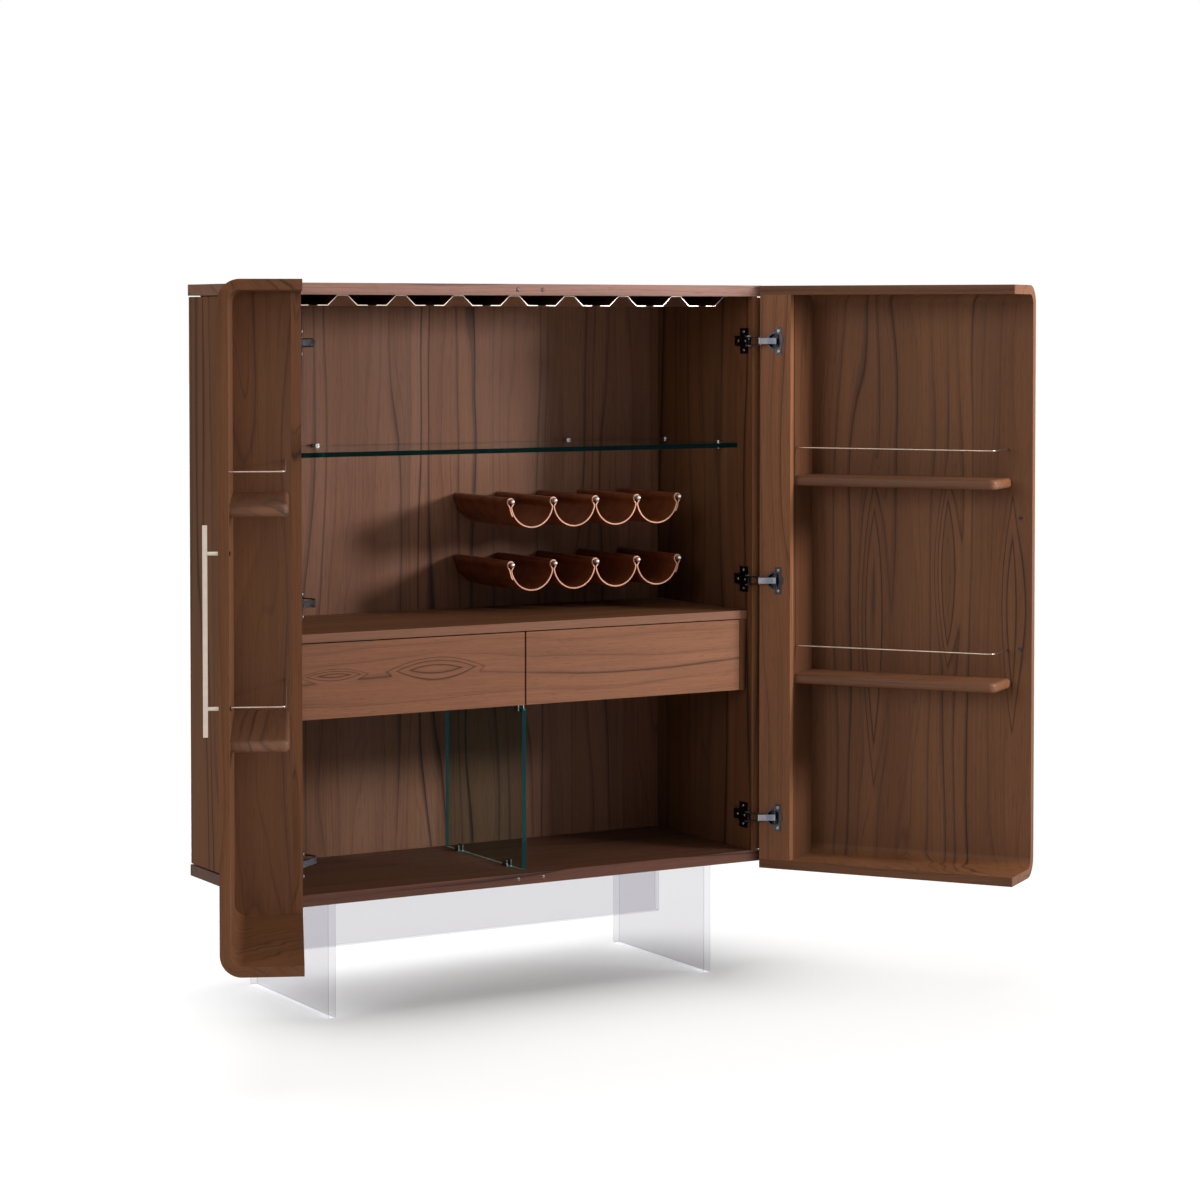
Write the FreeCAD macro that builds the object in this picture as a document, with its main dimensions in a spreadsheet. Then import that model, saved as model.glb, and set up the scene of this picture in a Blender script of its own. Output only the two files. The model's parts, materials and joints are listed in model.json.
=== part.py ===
"""Bar armoire: walnut carcass on a clear acrylic base, two deep pan doors, drawers, glass and wine slings.

Millimetres, +Z up. The origin is on the floor, at the middle of the carcass in width and depth, and the
front of the cabinet looks along -Y. The doors stand open, as the cabinet is shown.
"""
import FreeCAD, Part
import Sketcher
import math
import os
import re

Vector = FreeCAD.Vector
Rotation = FreeCAD.Rotation
Placement = FreeCAD.Placement

LEFT = -1
RIGHT = 1
SIDES = (LEFT, RIGHT)
SIDE_NAMES = {LEFT: "left", RIGHT: "right"}
STEM_SLOTS = 8
SLING_BAYS = 4

# Driving dimensions, in millimetres and degrees
SIZES = {
    # carcass
    "carcass_width": 1168,
    "carcass_depth": 462,
    "carcass_height": 1275,
    "panel_thickness": 24,
    "side_thickness": 22,
    "side_setback": 2,
    "reveal_height": 2.5,
    "reveal_depth": 10,
    "back_thickness": 22,
    "back_recess": 40,
    "bumper_radius": 5,
    "bumper_height": 2.6,
    "bumper_offset": 30,
    # clear base
    "base_height": 241,
    "slab_thickness": 18,
    "leg_inset": 118,
    "leg_setback": 21,
    "leg_depth": 394,
    "stretcher_height": 134,
    # doors
    "door_gap": 3,
    "door_edge_gap": 1,
    "meeting_gap": 2,
    "door_drop": 14,
    "door_head_gap": 0.5,
    "door_depth": 156,
    "door_wall": 20,
    "door_corner": 42,
    "stile_width": 72,
    "stile_thickness": 20,
    "hinge_wall": 18,
    "left_axis_inset": 11.4,
    "left_axis_reach": 27.7,
    "right_axis_inset": 4,
    "right_axis_reach": 9,
    "left_open_angle": 114.6,
    "right_open_angle": 125,
    # bins inside the doors
    "upper_bin_level": 856,
    "lower_bin_level": 418,
    "bin_thickness": 22,
    "bin_setback": 26,
    "bin_end_gap": 48,
    "bin_corner": 16,
    "bin_nose": 8,
    "gallery_radius": 1.9,
    "gallery_rise": 62,
    "gallery_setback": 33,
    "gallery_end_gap": 55,
    "gallery_bend": 12,
    # bar handles
    "handle_edge": 26,
    "handle_level": 625,
    "bar_size": 9,
    "bar_length": 392,
    "post_spacing": 287,
    "post_radius": 3.6,
    "post_length": 20,
    "screw_radius": 2,
    "screw_grip": 9,
    "screw_head_radius": 4,
    "screw_head_height": 2.4,
    # concealed hinges
    "top_hinge_drop": 122,
    "middle_hinge_rise": 69,
    "bottom_hinge_rise": 100,
    "cup_offset": 36,
    "cup_radius": 17.5,
    "cup_depth": 12,
    "cup_wall": 1.2,
    "flange_thickness": 1.5,
    "flange_height": 60.5,
    "flange_width": 14,
    "collar_radius": 20,
    "cup_pivot_depth": 1,
    "left_arm_pivot_inset": 55.4,
    "right_arm_pivot_inset": 36,
    "arm_pivot_depth": 6,
    "arm_length": 62,
    "arm_height": 22,
    "arm_thickness": 7,
    "ear_thickness": 2,
    "ear_radius": 4,
    "plate_height": 56,
    "plate_width": 30,
    "plate_setback": 16,
    "plate_thickness": 3,
    "hinge_pin_radius": 2,
    "inner_link_thickness": 2,
    "inner_link_radius": 3.8,
    "outer_link_height": 13,
    "outer_link_radius": 3.4,
    "hinge_side_gap": 0.5,
    # counter and drawers
    "counter_level": 556,
    "counter_thickness": 18,
    "counter_setback": 22,
    "bank_height": 177,
    "upright_thickness": 17,
    "bank_floor_thickness": 12,
    "front_thickness": 18,
    "front_head_gap": 2.5,
    "front_foot_gap": 1,
    "front_side_gap": 2,
    "front_backing_gap": 0.6,
    "drawer_back_gap": 30,
    "drawer_side_thickness": 12,
    "drawer_side_height": 112,
    "drawer_lift": 8,
    "drawer_bottom_thickness": 6,
    "drawer_bottom_rise": 8,
    # drawer runners
    "runner_space": 13,
    "runner_height": 42,
    "runner_back_gap": 10,
    "runner_sheet": 1.6,
    "runner_play": 0.4,
    "runner_lip": 7,
    "carrier_reach": 9,
    # push latches
    "latch_width": 16,
    "latch_height": 22,
    "latch_length": 20,
    "latch_offset": 60,
    "plunger_radius": 4,
    "plunger_length": 16,
    "plunger_bore_depth": 14,
    # glass shelf and divider
    "shelf_level": 926,
    "glass_thickness": 10,
    "shelf_setback": 60,
    "shelf_end_gap": 1,
    "shelf_back_gap": 3,
    "support_width": 14,
    "support_reach": 15,
    "support_jaw": 4,
    "support_corner": 4.5,
    "support_front_setback": 125,
    "support_rear_gap": 46,
    "support_back_offset": 315,
    "divider_setback": 29,
    "divider_back_gap": 19,
    "divider_head_gap": 8,
    "clip_length": 20,
    "clip_height": 14,
    "clip_wall": 2,
    "clip_front_setback": 104,
    "clip_rear_gap": 74,
    "clip_head_setback": 52,
    # stemware rails
    "rail_end_gap": 20,
    "stem_gap": 20,
    "rail_crown": 24,
    "rail_foot": 68,
    "rail_drop": 22,
    "rail_sheet": 1.5,
    "rail_setback": 70,
    "rail_back_gap": 8,
    # wine slings
    "sling_first": 33,
    "sling_pitch": 106,
    "lower_sling_rise": 113,
    "sling_row_rise": 137,
    "sling_drop": 44,
    "sling_neck": 13,
    "leather_thickness": 3.5,
    "sling_front_gap": 7,
    "sling_back_gap": 3,
    "rod_radius": 4.5,
    "rod_ball_radius": 5.5,
    "rod_reach": 260,
    # fits
    "fit_gap": 0.3,
    "running_gap": 0.05,
    "cut_overrun": 5,
}

doc = FreeCAD.newDocument("bar_armoire")
sheet = doc.addObject("Spreadsheet::Sheet", "Sizes")
for row, (alias, amount) in enumerate(SIZES.items(), start=1):
    sheet.set(f"A{row}", alias)
    sheet.set(f"B{row}", str(amount))
    sheet.setAlias(f"B{row}", alias)
doc.recompute()

WORD = re.compile(r"[a-z]\w*")
TURNS = {"x": Rotation(Vector(0, 1, 0), 90), "y": Rotation(Vector(1, 0, 0), -90), "z": Rotation()}
nodes = []


def formula(text):
    """Write a rule of named sizes as an expression on the sheet."""
    return WORD.sub(lambda word: f"Sizes.{word.group()}" if word.group() in SIZES else word.group(), text)


def size(text):
    """Work out a rule of named sizes."""
    amount = sheet.evalExpression(formula(text))
    return float(getattr(amount, "Value", amount))


def at(x_rule, y_rule, z_rule):
    """A point from three rules."""
    return Vector(size(x_rule), size(y_rule), size(z_rule))


def same(first, second):
    """Whether two places agree to within a running fit."""
    return abs(first - second) < size("running_gap")


def keep(piece, label, placement=None):
    """Name a finished piece, put it in its place and add it to the nodes."""
    piece.Label = label
    if placement is not None:
        piece.Placement = placement
    nodes.append(piece)
    return piece


def bind_base(piece, rules):
    """Bind the foot or corner of a piece to the sheet."""
    for axis, rule in zip("xyz", rules):
        piece.setExpression(f"Placement.Base.{axis}", formula(rule))


def block(name, x_span, y_span, z_span):
    """A box between pairs of rules, with its sizes and its corner bound to the sheet."""
    piece = doc.addObject("Part::Box", name)
    for side, (low, high) in zip(("Length", "Width", "Height"), (x_span, y_span, z_span)):
        piece.setExpression(side, formula(f"({high}) - ({low})"))
    bind_base(piece, (x_span[0], y_span[0], z_span[0]))
    return piece


def drum(name, radius, length, foot, along="z"):
    """A cylinder along one of the axes, with its sizes and its foot bound to the sheet."""
    piece = doc.addObject("Part::Cylinder", name)
    piece.Placement = Placement(Vector(0, 0, 0), TURNS[along])
    piece.setExpression("Radius", formula(radius))
    piece.setExpression("Height", formula(length))
    bind_base(piece, foot)
    return piece


def ball(name, radius, centre):
    """A sphere, with its radius and its centre bound to the sheet."""
    piece = doc.addObject("Part::Sphere", name)
    piece.setExpression("Radius", formula(radius))
    bind_base(piece, centre)
    return piece


def fuse(name, pieces):
    """Several pieces made one."""
    piece = doc.addObject("Part::MultiFuse", name)
    piece.Shapes = pieces
    piece.Refine = True
    return piece


def cut(name, base, tools):
    """One piece with others taken out of it."""
    piece = doc.addObject("Part::Cut", name)
    piece.Base = base
    piece.Tool = tools[0] if len(tools) == 1 else fuse(f"{name}_tools", tools)
    piece.Refine = True
    return piece


def group(name, pieces):
    """Separate solids that share one node."""
    piece = doc.addObject("Part::Compound", name)
    piece.Links = pieces
    return piece


def eased(name, base, radius, choose):
    """A piece with the edges that a rule chooses rounded."""
    doc.recompute()
    rounding = size(radius)
    chosen = [number for number, edge in enumerate(base.Shape.Edges, start=1) if choose(edge.BoundBox)]
    piece = doc.addObject("Part::Fillet", name)
    piece.Base = base
    piece.Edges = [(number, rounding, rounding) for number in chosen]
    return piece


def plane_sketch(body, name, role):
    """An empty sketch on one of the body's own planes."""
    plane = [feature for feature in body.Origin.OriginFeatures if feature.Role == role][0]
    sketch = body.newObject("Sketcher::SketchObject", name)
    sketch.AttachmentSupport = [(plane, "")]
    sketch.MapMode = "FlatFace"
    return sketch


def hold(sketch, kind, geometry, point, rule):
    """Hold a point of a sketch at a distance from the sketch's origin."""
    place = sketch.addConstraint(Sketcher.Constraint(kind, -1, 1, geometry, point, size(rule)))
    sketch.setExpression(f"Constraints[{place}]", formula(rule))


def outline(body, name, role, corners):
    """A closed outline whose corners are held by rules."""
    sketch = plane_sketch(body, name, role)
    places = [Vector(size(across), size(up), 0) for across, up in corners]
    count = len(places)
    for index in range(count):
        sketch.addGeometry(Part.LineSegment(places[index], places[(index + 1) % count]), False)
    for index, (across, up) in enumerate(corners):
        sketch.addConstraint(Sketcher.Constraint("Coincident", (index - 1) % count, 2, index, 1))
        hold(sketch, "DistanceX", index, 1, across)
        hold(sketch, "DistanceY", index, 1, up)
    return sketch


def both_ways(low, high):
    """The same span on the left and on the right of the middle."""
    return {LEFT: (f"0 - ({high})", f"0 - ({low})"), RIGHT: (low, high)}


# Places that many pieces share
FRONT = "(0 - carcass_depth / 2)"
REAR = "(carcass_depth / 2)"
UNDERSIDE = "base_height"
HEAD = "(base_height + carcass_height)"
END = "(carcass_width / 2)"
FLOOR_TOP = "(base_height + panel_thickness)"
CEILING = "(base_height + carcass_height - panel_thickness)"
SIDE_OUTSIDE = "(carcass_width / 2 - side_setback)"
SIDE_INSIDE = "(carcass_width / 2 - side_setback - side_thickness)"
BACK_REAR = "(carcass_depth / 2 - back_recess)"
BACK_FACE = "(carcass_depth / 2 - back_recess - back_thickness)"
COUNTER_TOP = "(base_height + counter_level)"
COUNTER_UNDER = "(base_height + counter_level - counter_thickness)"
COUNTER_FRONT = f"({FRONT} + counter_setback)"
BANK_UNDER = "(base_height + counter_level - bank_height)"
BANK_FLOOR = "(base_height + counter_level - bank_height + bank_floor_thickness)"
UPRIGHT_INSIDE = f"({SIDE_INSIDE} - upright_thickness)"
FRONT_BACK = f"({COUNTER_FRONT} + front_thickness)"
BACKING_FRONT = f"({FRONT_BACK} + front_backing_gap)"
DRAWER_REAR = f"({BACK_FACE} - drawer_back_gap)"
DRAWER_FOOT = f"({BANK_FLOOR} + drawer_lift)"
RUNNER_LEVEL = f"({DRAWER_FOOT} + drawer_side_height / 2)"
RAIL_PITCH = f"(2 * ({SIDE_INSIDE} - rail_end_gap) / {STEM_SLOTS})"
DOOR_WIDTH = "(carcass_width / 2 - door_edge_gap - meeting_gap / 2)"
DOOR_HEIGHT = "(carcass_height + door_drop - door_head_gap)"
DOOR_INSIDE = "(door_depth - door_wall)"
HINGE_LEVELS = {
    "top": "(carcass_height - top_hinge_drop)",
    "middle": "(counter_level + middle_hinge_rise)",
    "bottom": "bottom_hinge_rise",
}
INNER_LINK = {
    side: f"sqrt((cup_offset + door_edge_gap - {word}_axis_inset)^2"
          f" + (cup_pivot_depth + door_gap - {word}_axis_reach)^2)"
    for side, word in SIDE_NAMES.items()
}
OUTER_LINK = {
    side: f"sqrt(({word}_arm_pivot_inset - {word}_axis_inset)^2 + (arm_pivot_depth + {word}_axis_reach)^2)"
    for side, word in SIDE_NAMES.items()
}
LINK_HALF = "(outer_link_height / 2)"
LINK_PLATE_LOW = "(outer_link_height / 2 + hinge_side_gap)"
LINK_PLATE_HIGH = "(outer_link_height / 2 + hinge_side_gap + inner_link_thickness)"
EAR_LOW = f"({LINK_PLATE_HIGH} + hinge_side_gap)"
EAR_HIGH = f"({LINK_PLATE_HIGH} + hinge_side_gap + ear_thickness)"


def build_carcass():
    """Top, bottom, sides with their reveals, and the inset back."""
    full_width = (f"0 - {END}", END)
    full_depth = (FRONT, REAR)
    keep(block("top_panel", full_width, full_depth, (CEILING, HEAD)), "top_panel")
    keep(block("bottom_panel", full_width, full_depth, (UNDERSIDE, FLOOR_TOP)), "bottom_panel")
    past_depth = (f"{FRONT} - cut_overrun", f"{REAR} + cut_overrun")
    recess = (BACK_REAR, f"{REAR} + cut_overrun")
    boards = both_ways(SIDE_INSIDE, SIDE_OUTSIDE)
    grooves = both_ways(f"{SIDE_OUTSIDE} - reveal_depth", f"{SIDE_OUTSIDE} + cut_overrun")
    slits = both_ways(f"{SIDE_INSIDE} - cut_overrun", f"{SIDE_OUTSIDE} + cut_overrun")
    reveals = {"head": (f"{CEILING} - reveal_height", f"{CEILING} + cut_overrun"),
               "foot": (f"{FLOOR_TOP} - cut_overrun", f"{FLOOR_TOP} + reveal_height")}
    for side in SIDES:
        name = f"{SIDE_NAMES[side]}_side_panel"
        board = block(f"{name}_board", boards[side], full_depth, (FLOOR_TOP, CEILING))
        cuts = []
        for end_name, z_span in reveals.items():
            cuts.append(block(f"{name}_{end_name}_groove", grooves[side], past_depth, z_span))
            cuts.append(block(f"{name}_{end_name}_slit", slits[side], recess, z_span))
        keep(cut(name, board, cuts), name)
    inner_width = (f"0 - {SIDE_INSIDE}", SIDE_INSIDE)
    keep(block("back_panel", inner_width, (BACK_FACE, BACK_REAR), (FLOOR_TOP, CEILING)), "back_panel")


def build_bumpers():
    """Clear domes on the front edges of the top and bottom panels, where the doors' free edges land."""
    radius = "((bumper_radius * bumper_radius + bumper_height * bumper_height) / (2 * bumper_height))"
    edges = {"head": f"({HEAD} - panel_thickness / 2)", "foot": f"({UNDERSIDE} + panel_thickness / 2)"}
    domes = []
    for end_name, level in edges.items():
        for side in SIDES:
            name = f"{SIDE_NAMES[side]}_{end_name}_bumper"
            middle = f"({side} * bumper_offset)"
            whole = ball(f"{name}_ball", radius, (middle, f"{FRONT} - bumper_height + {radius}", level))
            near_half = block(f"{name}_near", (f"{middle} - {radius}", f"{middle} + {radius}"),
                              (f"{FRONT} - bumper_height - cut_overrun", FRONT),
                              (f"{level} - {radius}", f"{level} + {radius}"))
            dome = doc.addObject("Part::Common", name)
            dome.Base = whole
            dome.Tool = near_half
            domes.append(dome)
    keep(group("door_bumpers", domes), "door_bumpers")


def build_base():
    """Two clear legs and the stretcher that stands between them."""
    leg_front = f"({FRONT} + leg_setback)"
    leg_span = (leg_front, f"{leg_front} + leg_depth")
    outside = f"({END} - leg_inset)"
    inside = f"({outside} - slab_thickness)"
    for side, x_span in both_ways(inside, outside).items():
        name = f"{SIDE_NAMES[side]}_leg"
        keep(block(name, x_span, leg_span, ("0", UNDERSIDE)), name)
    middle = f"({leg_front} + leg_depth / 2)"
    keep(block("leg_stretcher", (f"0 - {inside}", inside),
               (f"{middle} - slab_thickness / 2", f"{middle} + slab_thickness / 2"),
               (f"{UNDERSIDE} - stretcher_height", UNDERSIDE)), "leg_stretcher")


def stemware_outline(has_left, has_right):
    """Half or the whole of a bent rail in front view, from its left end and the underside of its lips."""
    run = "(rail_foot / 2 - rail_crown / 2)"
    fall = "(rail_drop - rail_sheet)"
    mitre = f"(rail_sheet * (sqrt({run} * {run} + {fall} * {fall}) - {run}) / {fall})"
    lip = f"(({RAIL_PITCH} - stem_gap) / 2)"
    right = [("rail_crown / 2", "rail_drop"), ("rail_foot / 2", "rail_sheet"), (lip, "rail_sheet"),
             (lip, "0"), (f"rail_foot / 2 - {mitre}", "0"), (f"rail_crown / 2 - {mitre}", fall)]
    middle = lip if has_left else "0"
    points = [(f"{middle} + {across}", up) for across, up in right] if has_right else []
    if has_left:
        points += [(f"{middle} - ({across})", up) for across, up in reversed(right)]
    if not has_left:
        points += [("0", fall), ("0", "rail_drop")]
    if not has_right:
        points += [(middle, "rail_drop"), (middle, fall)]
    return points, middle


def build_stemware():
    """The rails, spaced so that a stem slot lies between each two."""
    rails = []
    for index in range(STEM_SLOTS + 1):
        name = f"stemware_rail_{index + 1}"
        points, middle = stemware_outline(index > 0, index < STEM_SLOTS)
        body = doc.addObject("PartDesign::Body", name)
        profile = outline(body, f"{name}_outline", "XZ_Plane", points)
        pad = body.newObject("PartDesign::Pad", f"{name}_pad")
        pad.Profile = profile
        pad.setExpression("Length", formula(f"{BACK_FACE} - rail_back_gap - ({FRONT} + rail_setback)"))
        pad.Reversed = True
        centre = f"({index - STEM_SLOTS // 2} * {RAIL_PITCH})"
        bind_base(body, (f"{centre} - {middle}", f"{FRONT} + rail_setback", f"{CEILING} - rail_drop"))
        rails.append(body)
    keep(group("stemware_rails", rails), "stemware_rails")


def support(name, x_span, y_span, slot_x, slot_y, at_tip):
    """One shelf clamp: a block with a rounded tip and a slot for the glass."""
    shelf_top = f"({UNDERSIDE} + shelf_level)"
    shelf_under = f"({shelf_top} - glass_thickness)"
    body = block(f"{name}_body", x_span, y_span,
                 (f"{shelf_under} - support_jaw", f"{shelf_top} + support_jaw"))
    rounded = eased(f"{name}_rounded", body, "support_corner", at_tip)
    slot = block(f"{name}_slot", slot_x, slot_y, (shelf_under, f"{shelf_top} + fit_gap"))
    return cut(name, rounded, [slot])


def upright_edge(box):
    """Whether an edge runs straight up."""
    return same(box.XLength, 0) and same(box.YLength, 0)


def build_glass_shelf():
    """The glass shelf and the clamps that hold it to the sides and the back."""
    shelf_top = f"({UNDERSIDE} + shelf_level)"
    reach = f"({SIDE_INSIDE} - shelf_end_gap)"
    keep(block("glass_shelf", (f"0 - {reach}", reach),
               (f"{FRONT} + shelf_setback", f"{BACK_FACE} - shelf_back_gap"),
               (f"{shelf_top} - glass_thickness", shelf_top)), "glass_shelf")
    side_tip = f"({SIDE_INSIDE} - support_reach)"
    back_tip = f"({BACK_FACE} - support_reach)"
    bodies = both_ways(side_tip, SIDE_INSIDE)
    slots = both_ways(f"{side_tip} - cut_overrun", f"{reach} + fit_gap")
    rows = {"front": f"({FRONT} + support_front_setback)", "rear": f"({BACK_FACE} - support_rear_gap)"}
    supports = []
    for side in SIDES:
        for row_name, middle in rows.items():
            low, high = f"{middle} - support_width / 2", f"{middle} + support_width / 2"
            supports.append(support(
                f"{SIDE_NAMES[side]}_{row_name}_support", bodies[side], (low, high), slots[side],
                (f"{low} - cut_overrun", f"{high} + cut_overrun"),
                lambda box: upright_edge(box) and same(abs(box.Center.x), size(side_tip))))
        middle = f"({side} * support_back_offset)"
        low, high = f"{middle} - support_width / 2", f"{middle} + support_width / 2"
        supports.append(support(f"{SIDE_NAMES[side]}_back_support", (low, high), (back_tip, BACK_FACE),
                                (f"{low} - cut_overrun", f"{high} + cut_overrun"),
                                (f"{back_tip} - cut_overrun", f"{BACK_FACE} - shelf_back_gap + fit_gap"),
                                lambda box: upright_edge(box) and same(box.Center.y, size(back_tip))))
    keep(group("shelf_supports", supports), "shelf_supports")


def build_divider():
    """The upright sheet of glass in the lower bay and its clips."""
    foot = f"({FLOOR_TOP} + clip_wall)"
    keep(block("glass_divider", ("0 - glass_thickness / 2", "glass_thickness / 2"),
               (f"{FRONT} + divider_setback", f"{BACK_FACE} - divider_back_gap"),
               (foot, f"{BANK_UNDER} - divider_head_gap")), "glass_divider")
    half_slot = "(glass_thickness / 2 + fit_gap)"
    half_width = "(glass_thickness / 2 + fit_gap + clip_wall)"
    standing = ((FLOOR_TOP, f"{FLOOR_TOP} + clip_height"),
                (foot, f"{FLOOR_TOP} + clip_height + cut_overrun"))
    hanging = ((f"{BANK_UNDER} - clip_height", BANK_UNDER),
               (f"{BANK_UNDER} - clip_height - cut_overrun", f"{BANK_UNDER} - clip_wall"))
    places = {"front": (f"({FRONT} + clip_front_setback)", standing),
              "rear": (f"({BACK_FACE} - clip_rear_gap)", standing),
              "head": (f"({FRONT} + clip_head_setback)", hanging)}
    clips = []
    for word, (middle, (body_span, slot_span)) in places.items():
        low, high = f"{middle} - clip_length / 2", f"{middle} + clip_length / 2"
        body = block(f"{word}_clip_body", (f"0 - {half_width}", half_width), (low, high), body_span)
        slot = block(f"{word}_clip_slot", (f"0 - {half_slot}", half_slot),
                     (f"{low} - cut_overrun", f"{high} + cut_overrun"), slot_span)
        clips.append(cut(f"{word}_clip", body, [slot]))
    keep(group("divider_clips", clips), "divider_clips")


def sling_sag(middle, neck, front, deep):
    """The round sag of leather between two rods, as a bent sheet."""
    gauge = size("leather_thickness")
    drop = size("sling_drop")
    half_chord = (size("sling_pitch") - gauge) / 2
    radius = (half_chord ** 2 + drop ** 2) / (2 * drop)
    reach = math.asin(half_chord / radius)
    centre = Vector(middle, front, neck + radius - drop)
    rim = []
    for distance, turn in ((radius + gauge / 2, 1), (radius - gauge / 2, -1)):
        points = []
        for angle in (-reach * turn, 0, reach * turn):
            points.append(centre + Vector(distance * math.sin(angle), 0, -distance * math.cos(angle)))
        rim.append(Part.Arc(*points).toShape())
    ends = [edge.Vertexes for edge in rim]
    rim.insert(1, Part.makeLine(ends[0][-1].Point, ends[1][0].Point))
    rim.append(Part.makeLine(ends[1][-1].Point, ends[0][0].Point))
    return Part.Face(Part.Wire(rim)).extrude(Vector(0, deep, 0))


def sling_loop(rod, neck, low_side, high_side, deep):
    """The leather wrapped round one rod, with the neck that runs down from it."""
    gauge = size("leather_thickness")
    bore = size("rod_radius + fit_gap")
    along = Vector(0, 1, 0)
    loop = Part.makeCylinder(bore + gauge, deep, rod, along)
    foot = Vector(rod.x - low_side * gauge, rod.y, neck - gauge / 2)
    stem = Part.makeBox((low_side + high_side) * gauge, deep, rod.z - foot.z, foot)
    return loop.fuse(stem).cut(Part.makeCylinder(bore, deep, rod, along))


def build_slings():
    """Two rows of leather wine slings on cantilevered rods."""
    lower = f"({COUNTER_TOP} + lower_sling_rise)"
    rows = {"lower": lower, "upper": f"({lower} + sling_row_rise)"}
    front = size(f"{BACK_FACE} - rod_reach + sling_front_gap")
    deep = size("rod_reach - sling_front_gap - sling_back_gap")
    rods = []
    for row_name, level in rows.items():
        neck = size(f"{level} - sling_neck")
        pieces = []
        for index in range(SLING_BAYS + 1):
            across = f"(sling_first + {index} * sling_pitch)"
            name = f"{row_name}_rod_{index + 1}"
            tip = (across, f"{BACK_FACE} - rod_reach", level)
            rods.append(fuse(name, [drum(f"{name}_bar", "rod_radius", "rod_reach", tip, "y"),
                                    ball(f"{name}_tip", "rod_ball_radius", tip)]))
            rod = Vector(size(across), front, size(level))
            pieces.append(sling_loop(rod, neck, int(index > 0), int(index < SLING_BAYS), deep))
            if index < SLING_BAYS:
                pieces.append(sling_sag(rod.x + size("sling_pitch") / 2, neck, front, deep))
        band = doc.addObject("Part::Feature", f"{row_name}_wine_sling")
        band.Shape = pieces[0].fuse(pieces[1:]).removeSplitter().Solids[0]
        keep(band, f"{row_name}_wine_sling")
    keep(group("sling_rods", rods), "sling_rods")


def build_counter_and_bank():
    """The counter board, and the uprights and floor of the drawer bank under it."""
    inner_width = (f"0 - {SIDE_INSIDE}", SIDE_INSIDE)
    keep(block("counter", inner_width, (COUNTER_FRONT, BACK_FACE), (COUNTER_UNDER, COUNTER_TOP)), "counter")
    spans = both_ways(UPRIGHT_INSIDE, SIDE_INSIDE)
    uprights = [block(f"{SIDE_NAMES[side]}_upright", spans[side], (COUNTER_FRONT, BACK_FACE),
                      (BANK_UNDER, COUNTER_UNDER)) for side in SIDES]
    uprights.append(block("middle_upright", ("0 - upright_thickness / 2", "upright_thickness / 2"),
                          (BACKING_FRONT, BACK_FACE), (BANK_FLOOR, COUNTER_UNDER)))
    keep(group("drawer_bank_uprights", uprights), "drawer_bank_uprights")
    keep(block("drawer_bank_floor", (f"0 - {UPRIGHT_INSIDE}", UPRIGHT_INSIDE), (BACKING_FRONT, BACK_FACE),
               (BANK_UNDER, BANK_FLOOR)), "drawer_bank_floor")


def runner_channel(name, wall, toward, start, reach, height):
    """A bent channel that starts at a distance from a wall and opens towards the drawer."""
    def away(low, high):
        ends = (f"{wall} + {toward} * ({low})", f"{wall} + {toward} * ({high})")
        return ends if toward > 0 else ends[::-1]

    y_span = (BACKING_FRONT, f"{DRAWER_REAR} - runner_back_gap")
    past_ends = (f"{y_span[0]} - cut_overrun", f"{y_span[1]} + cut_overrun")
    low, high = f"{RUNNER_LEVEL} - {height} / 2", f"{RUNNER_LEVEL} + {height} / 2"
    body = block(f"{name}_body", away(start, f"{start} + {reach}"), y_span, (low, high))
    room = block(f"{name}_room", away(f"{start} + runner_sheet", f"{start} + {reach} + cut_overrun"),
                 past_ends, (f"{low} + runner_sheet", f"{high} - runner_sheet"))
    return cut(name, body, [room])


def build_runners():
    """Cabinet rails, carriers and drawer slides, nested with a little play."""
    step = "(runner_sheet + runner_play)"
    carrier_height = f"(runner_height - 2 * {step})"
    slide_half = f"({carrier_height} / 2 - {step})"
    rails = []
    for side in SIDES:
        side_name = SIDE_NAMES[side]
        walls = {"near": (f"({side} * upright_thickness / 2)", side),
                 "far": (f"({side} * {UPRIGHT_INSIDE})", -side)}
        carriers = []
        slides = []
        for word, (wall, toward) in walls.items():
            name = f"{side_name}_{word}"
            rails.append(runner_channel(f"{name}_rail", wall, toward, "0", "runner_lip", "runner_height"))
            carriers.append(runner_channel(f"{name}_carrier", wall, toward, step, "carrier_reach",
                                           carrier_height))
            ends = (f"{wall} + {toward} * 2 * {step}", f"{wall} + {toward} * runner_space")
            slides.append(block(f"{name}_slide", ends if toward > 0 else ends[::-1],
                                (BACKING_FRONT, f"{DRAWER_REAR} - runner_back_gap"),
                                (f"{RUNNER_LEVEL} - {slide_half}", f"{RUNNER_LEVEL} + {slide_half}")))
        keep(group(f"{side_name}_runner_carriers", carriers), f"{side_name}_runner_carriers")
        keep(group(f"{side_name}_drawer_slides", slides), f"{side_name}_drawer_slides")
    keep(group("runner_rails", rails), "runner_rails")


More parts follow.
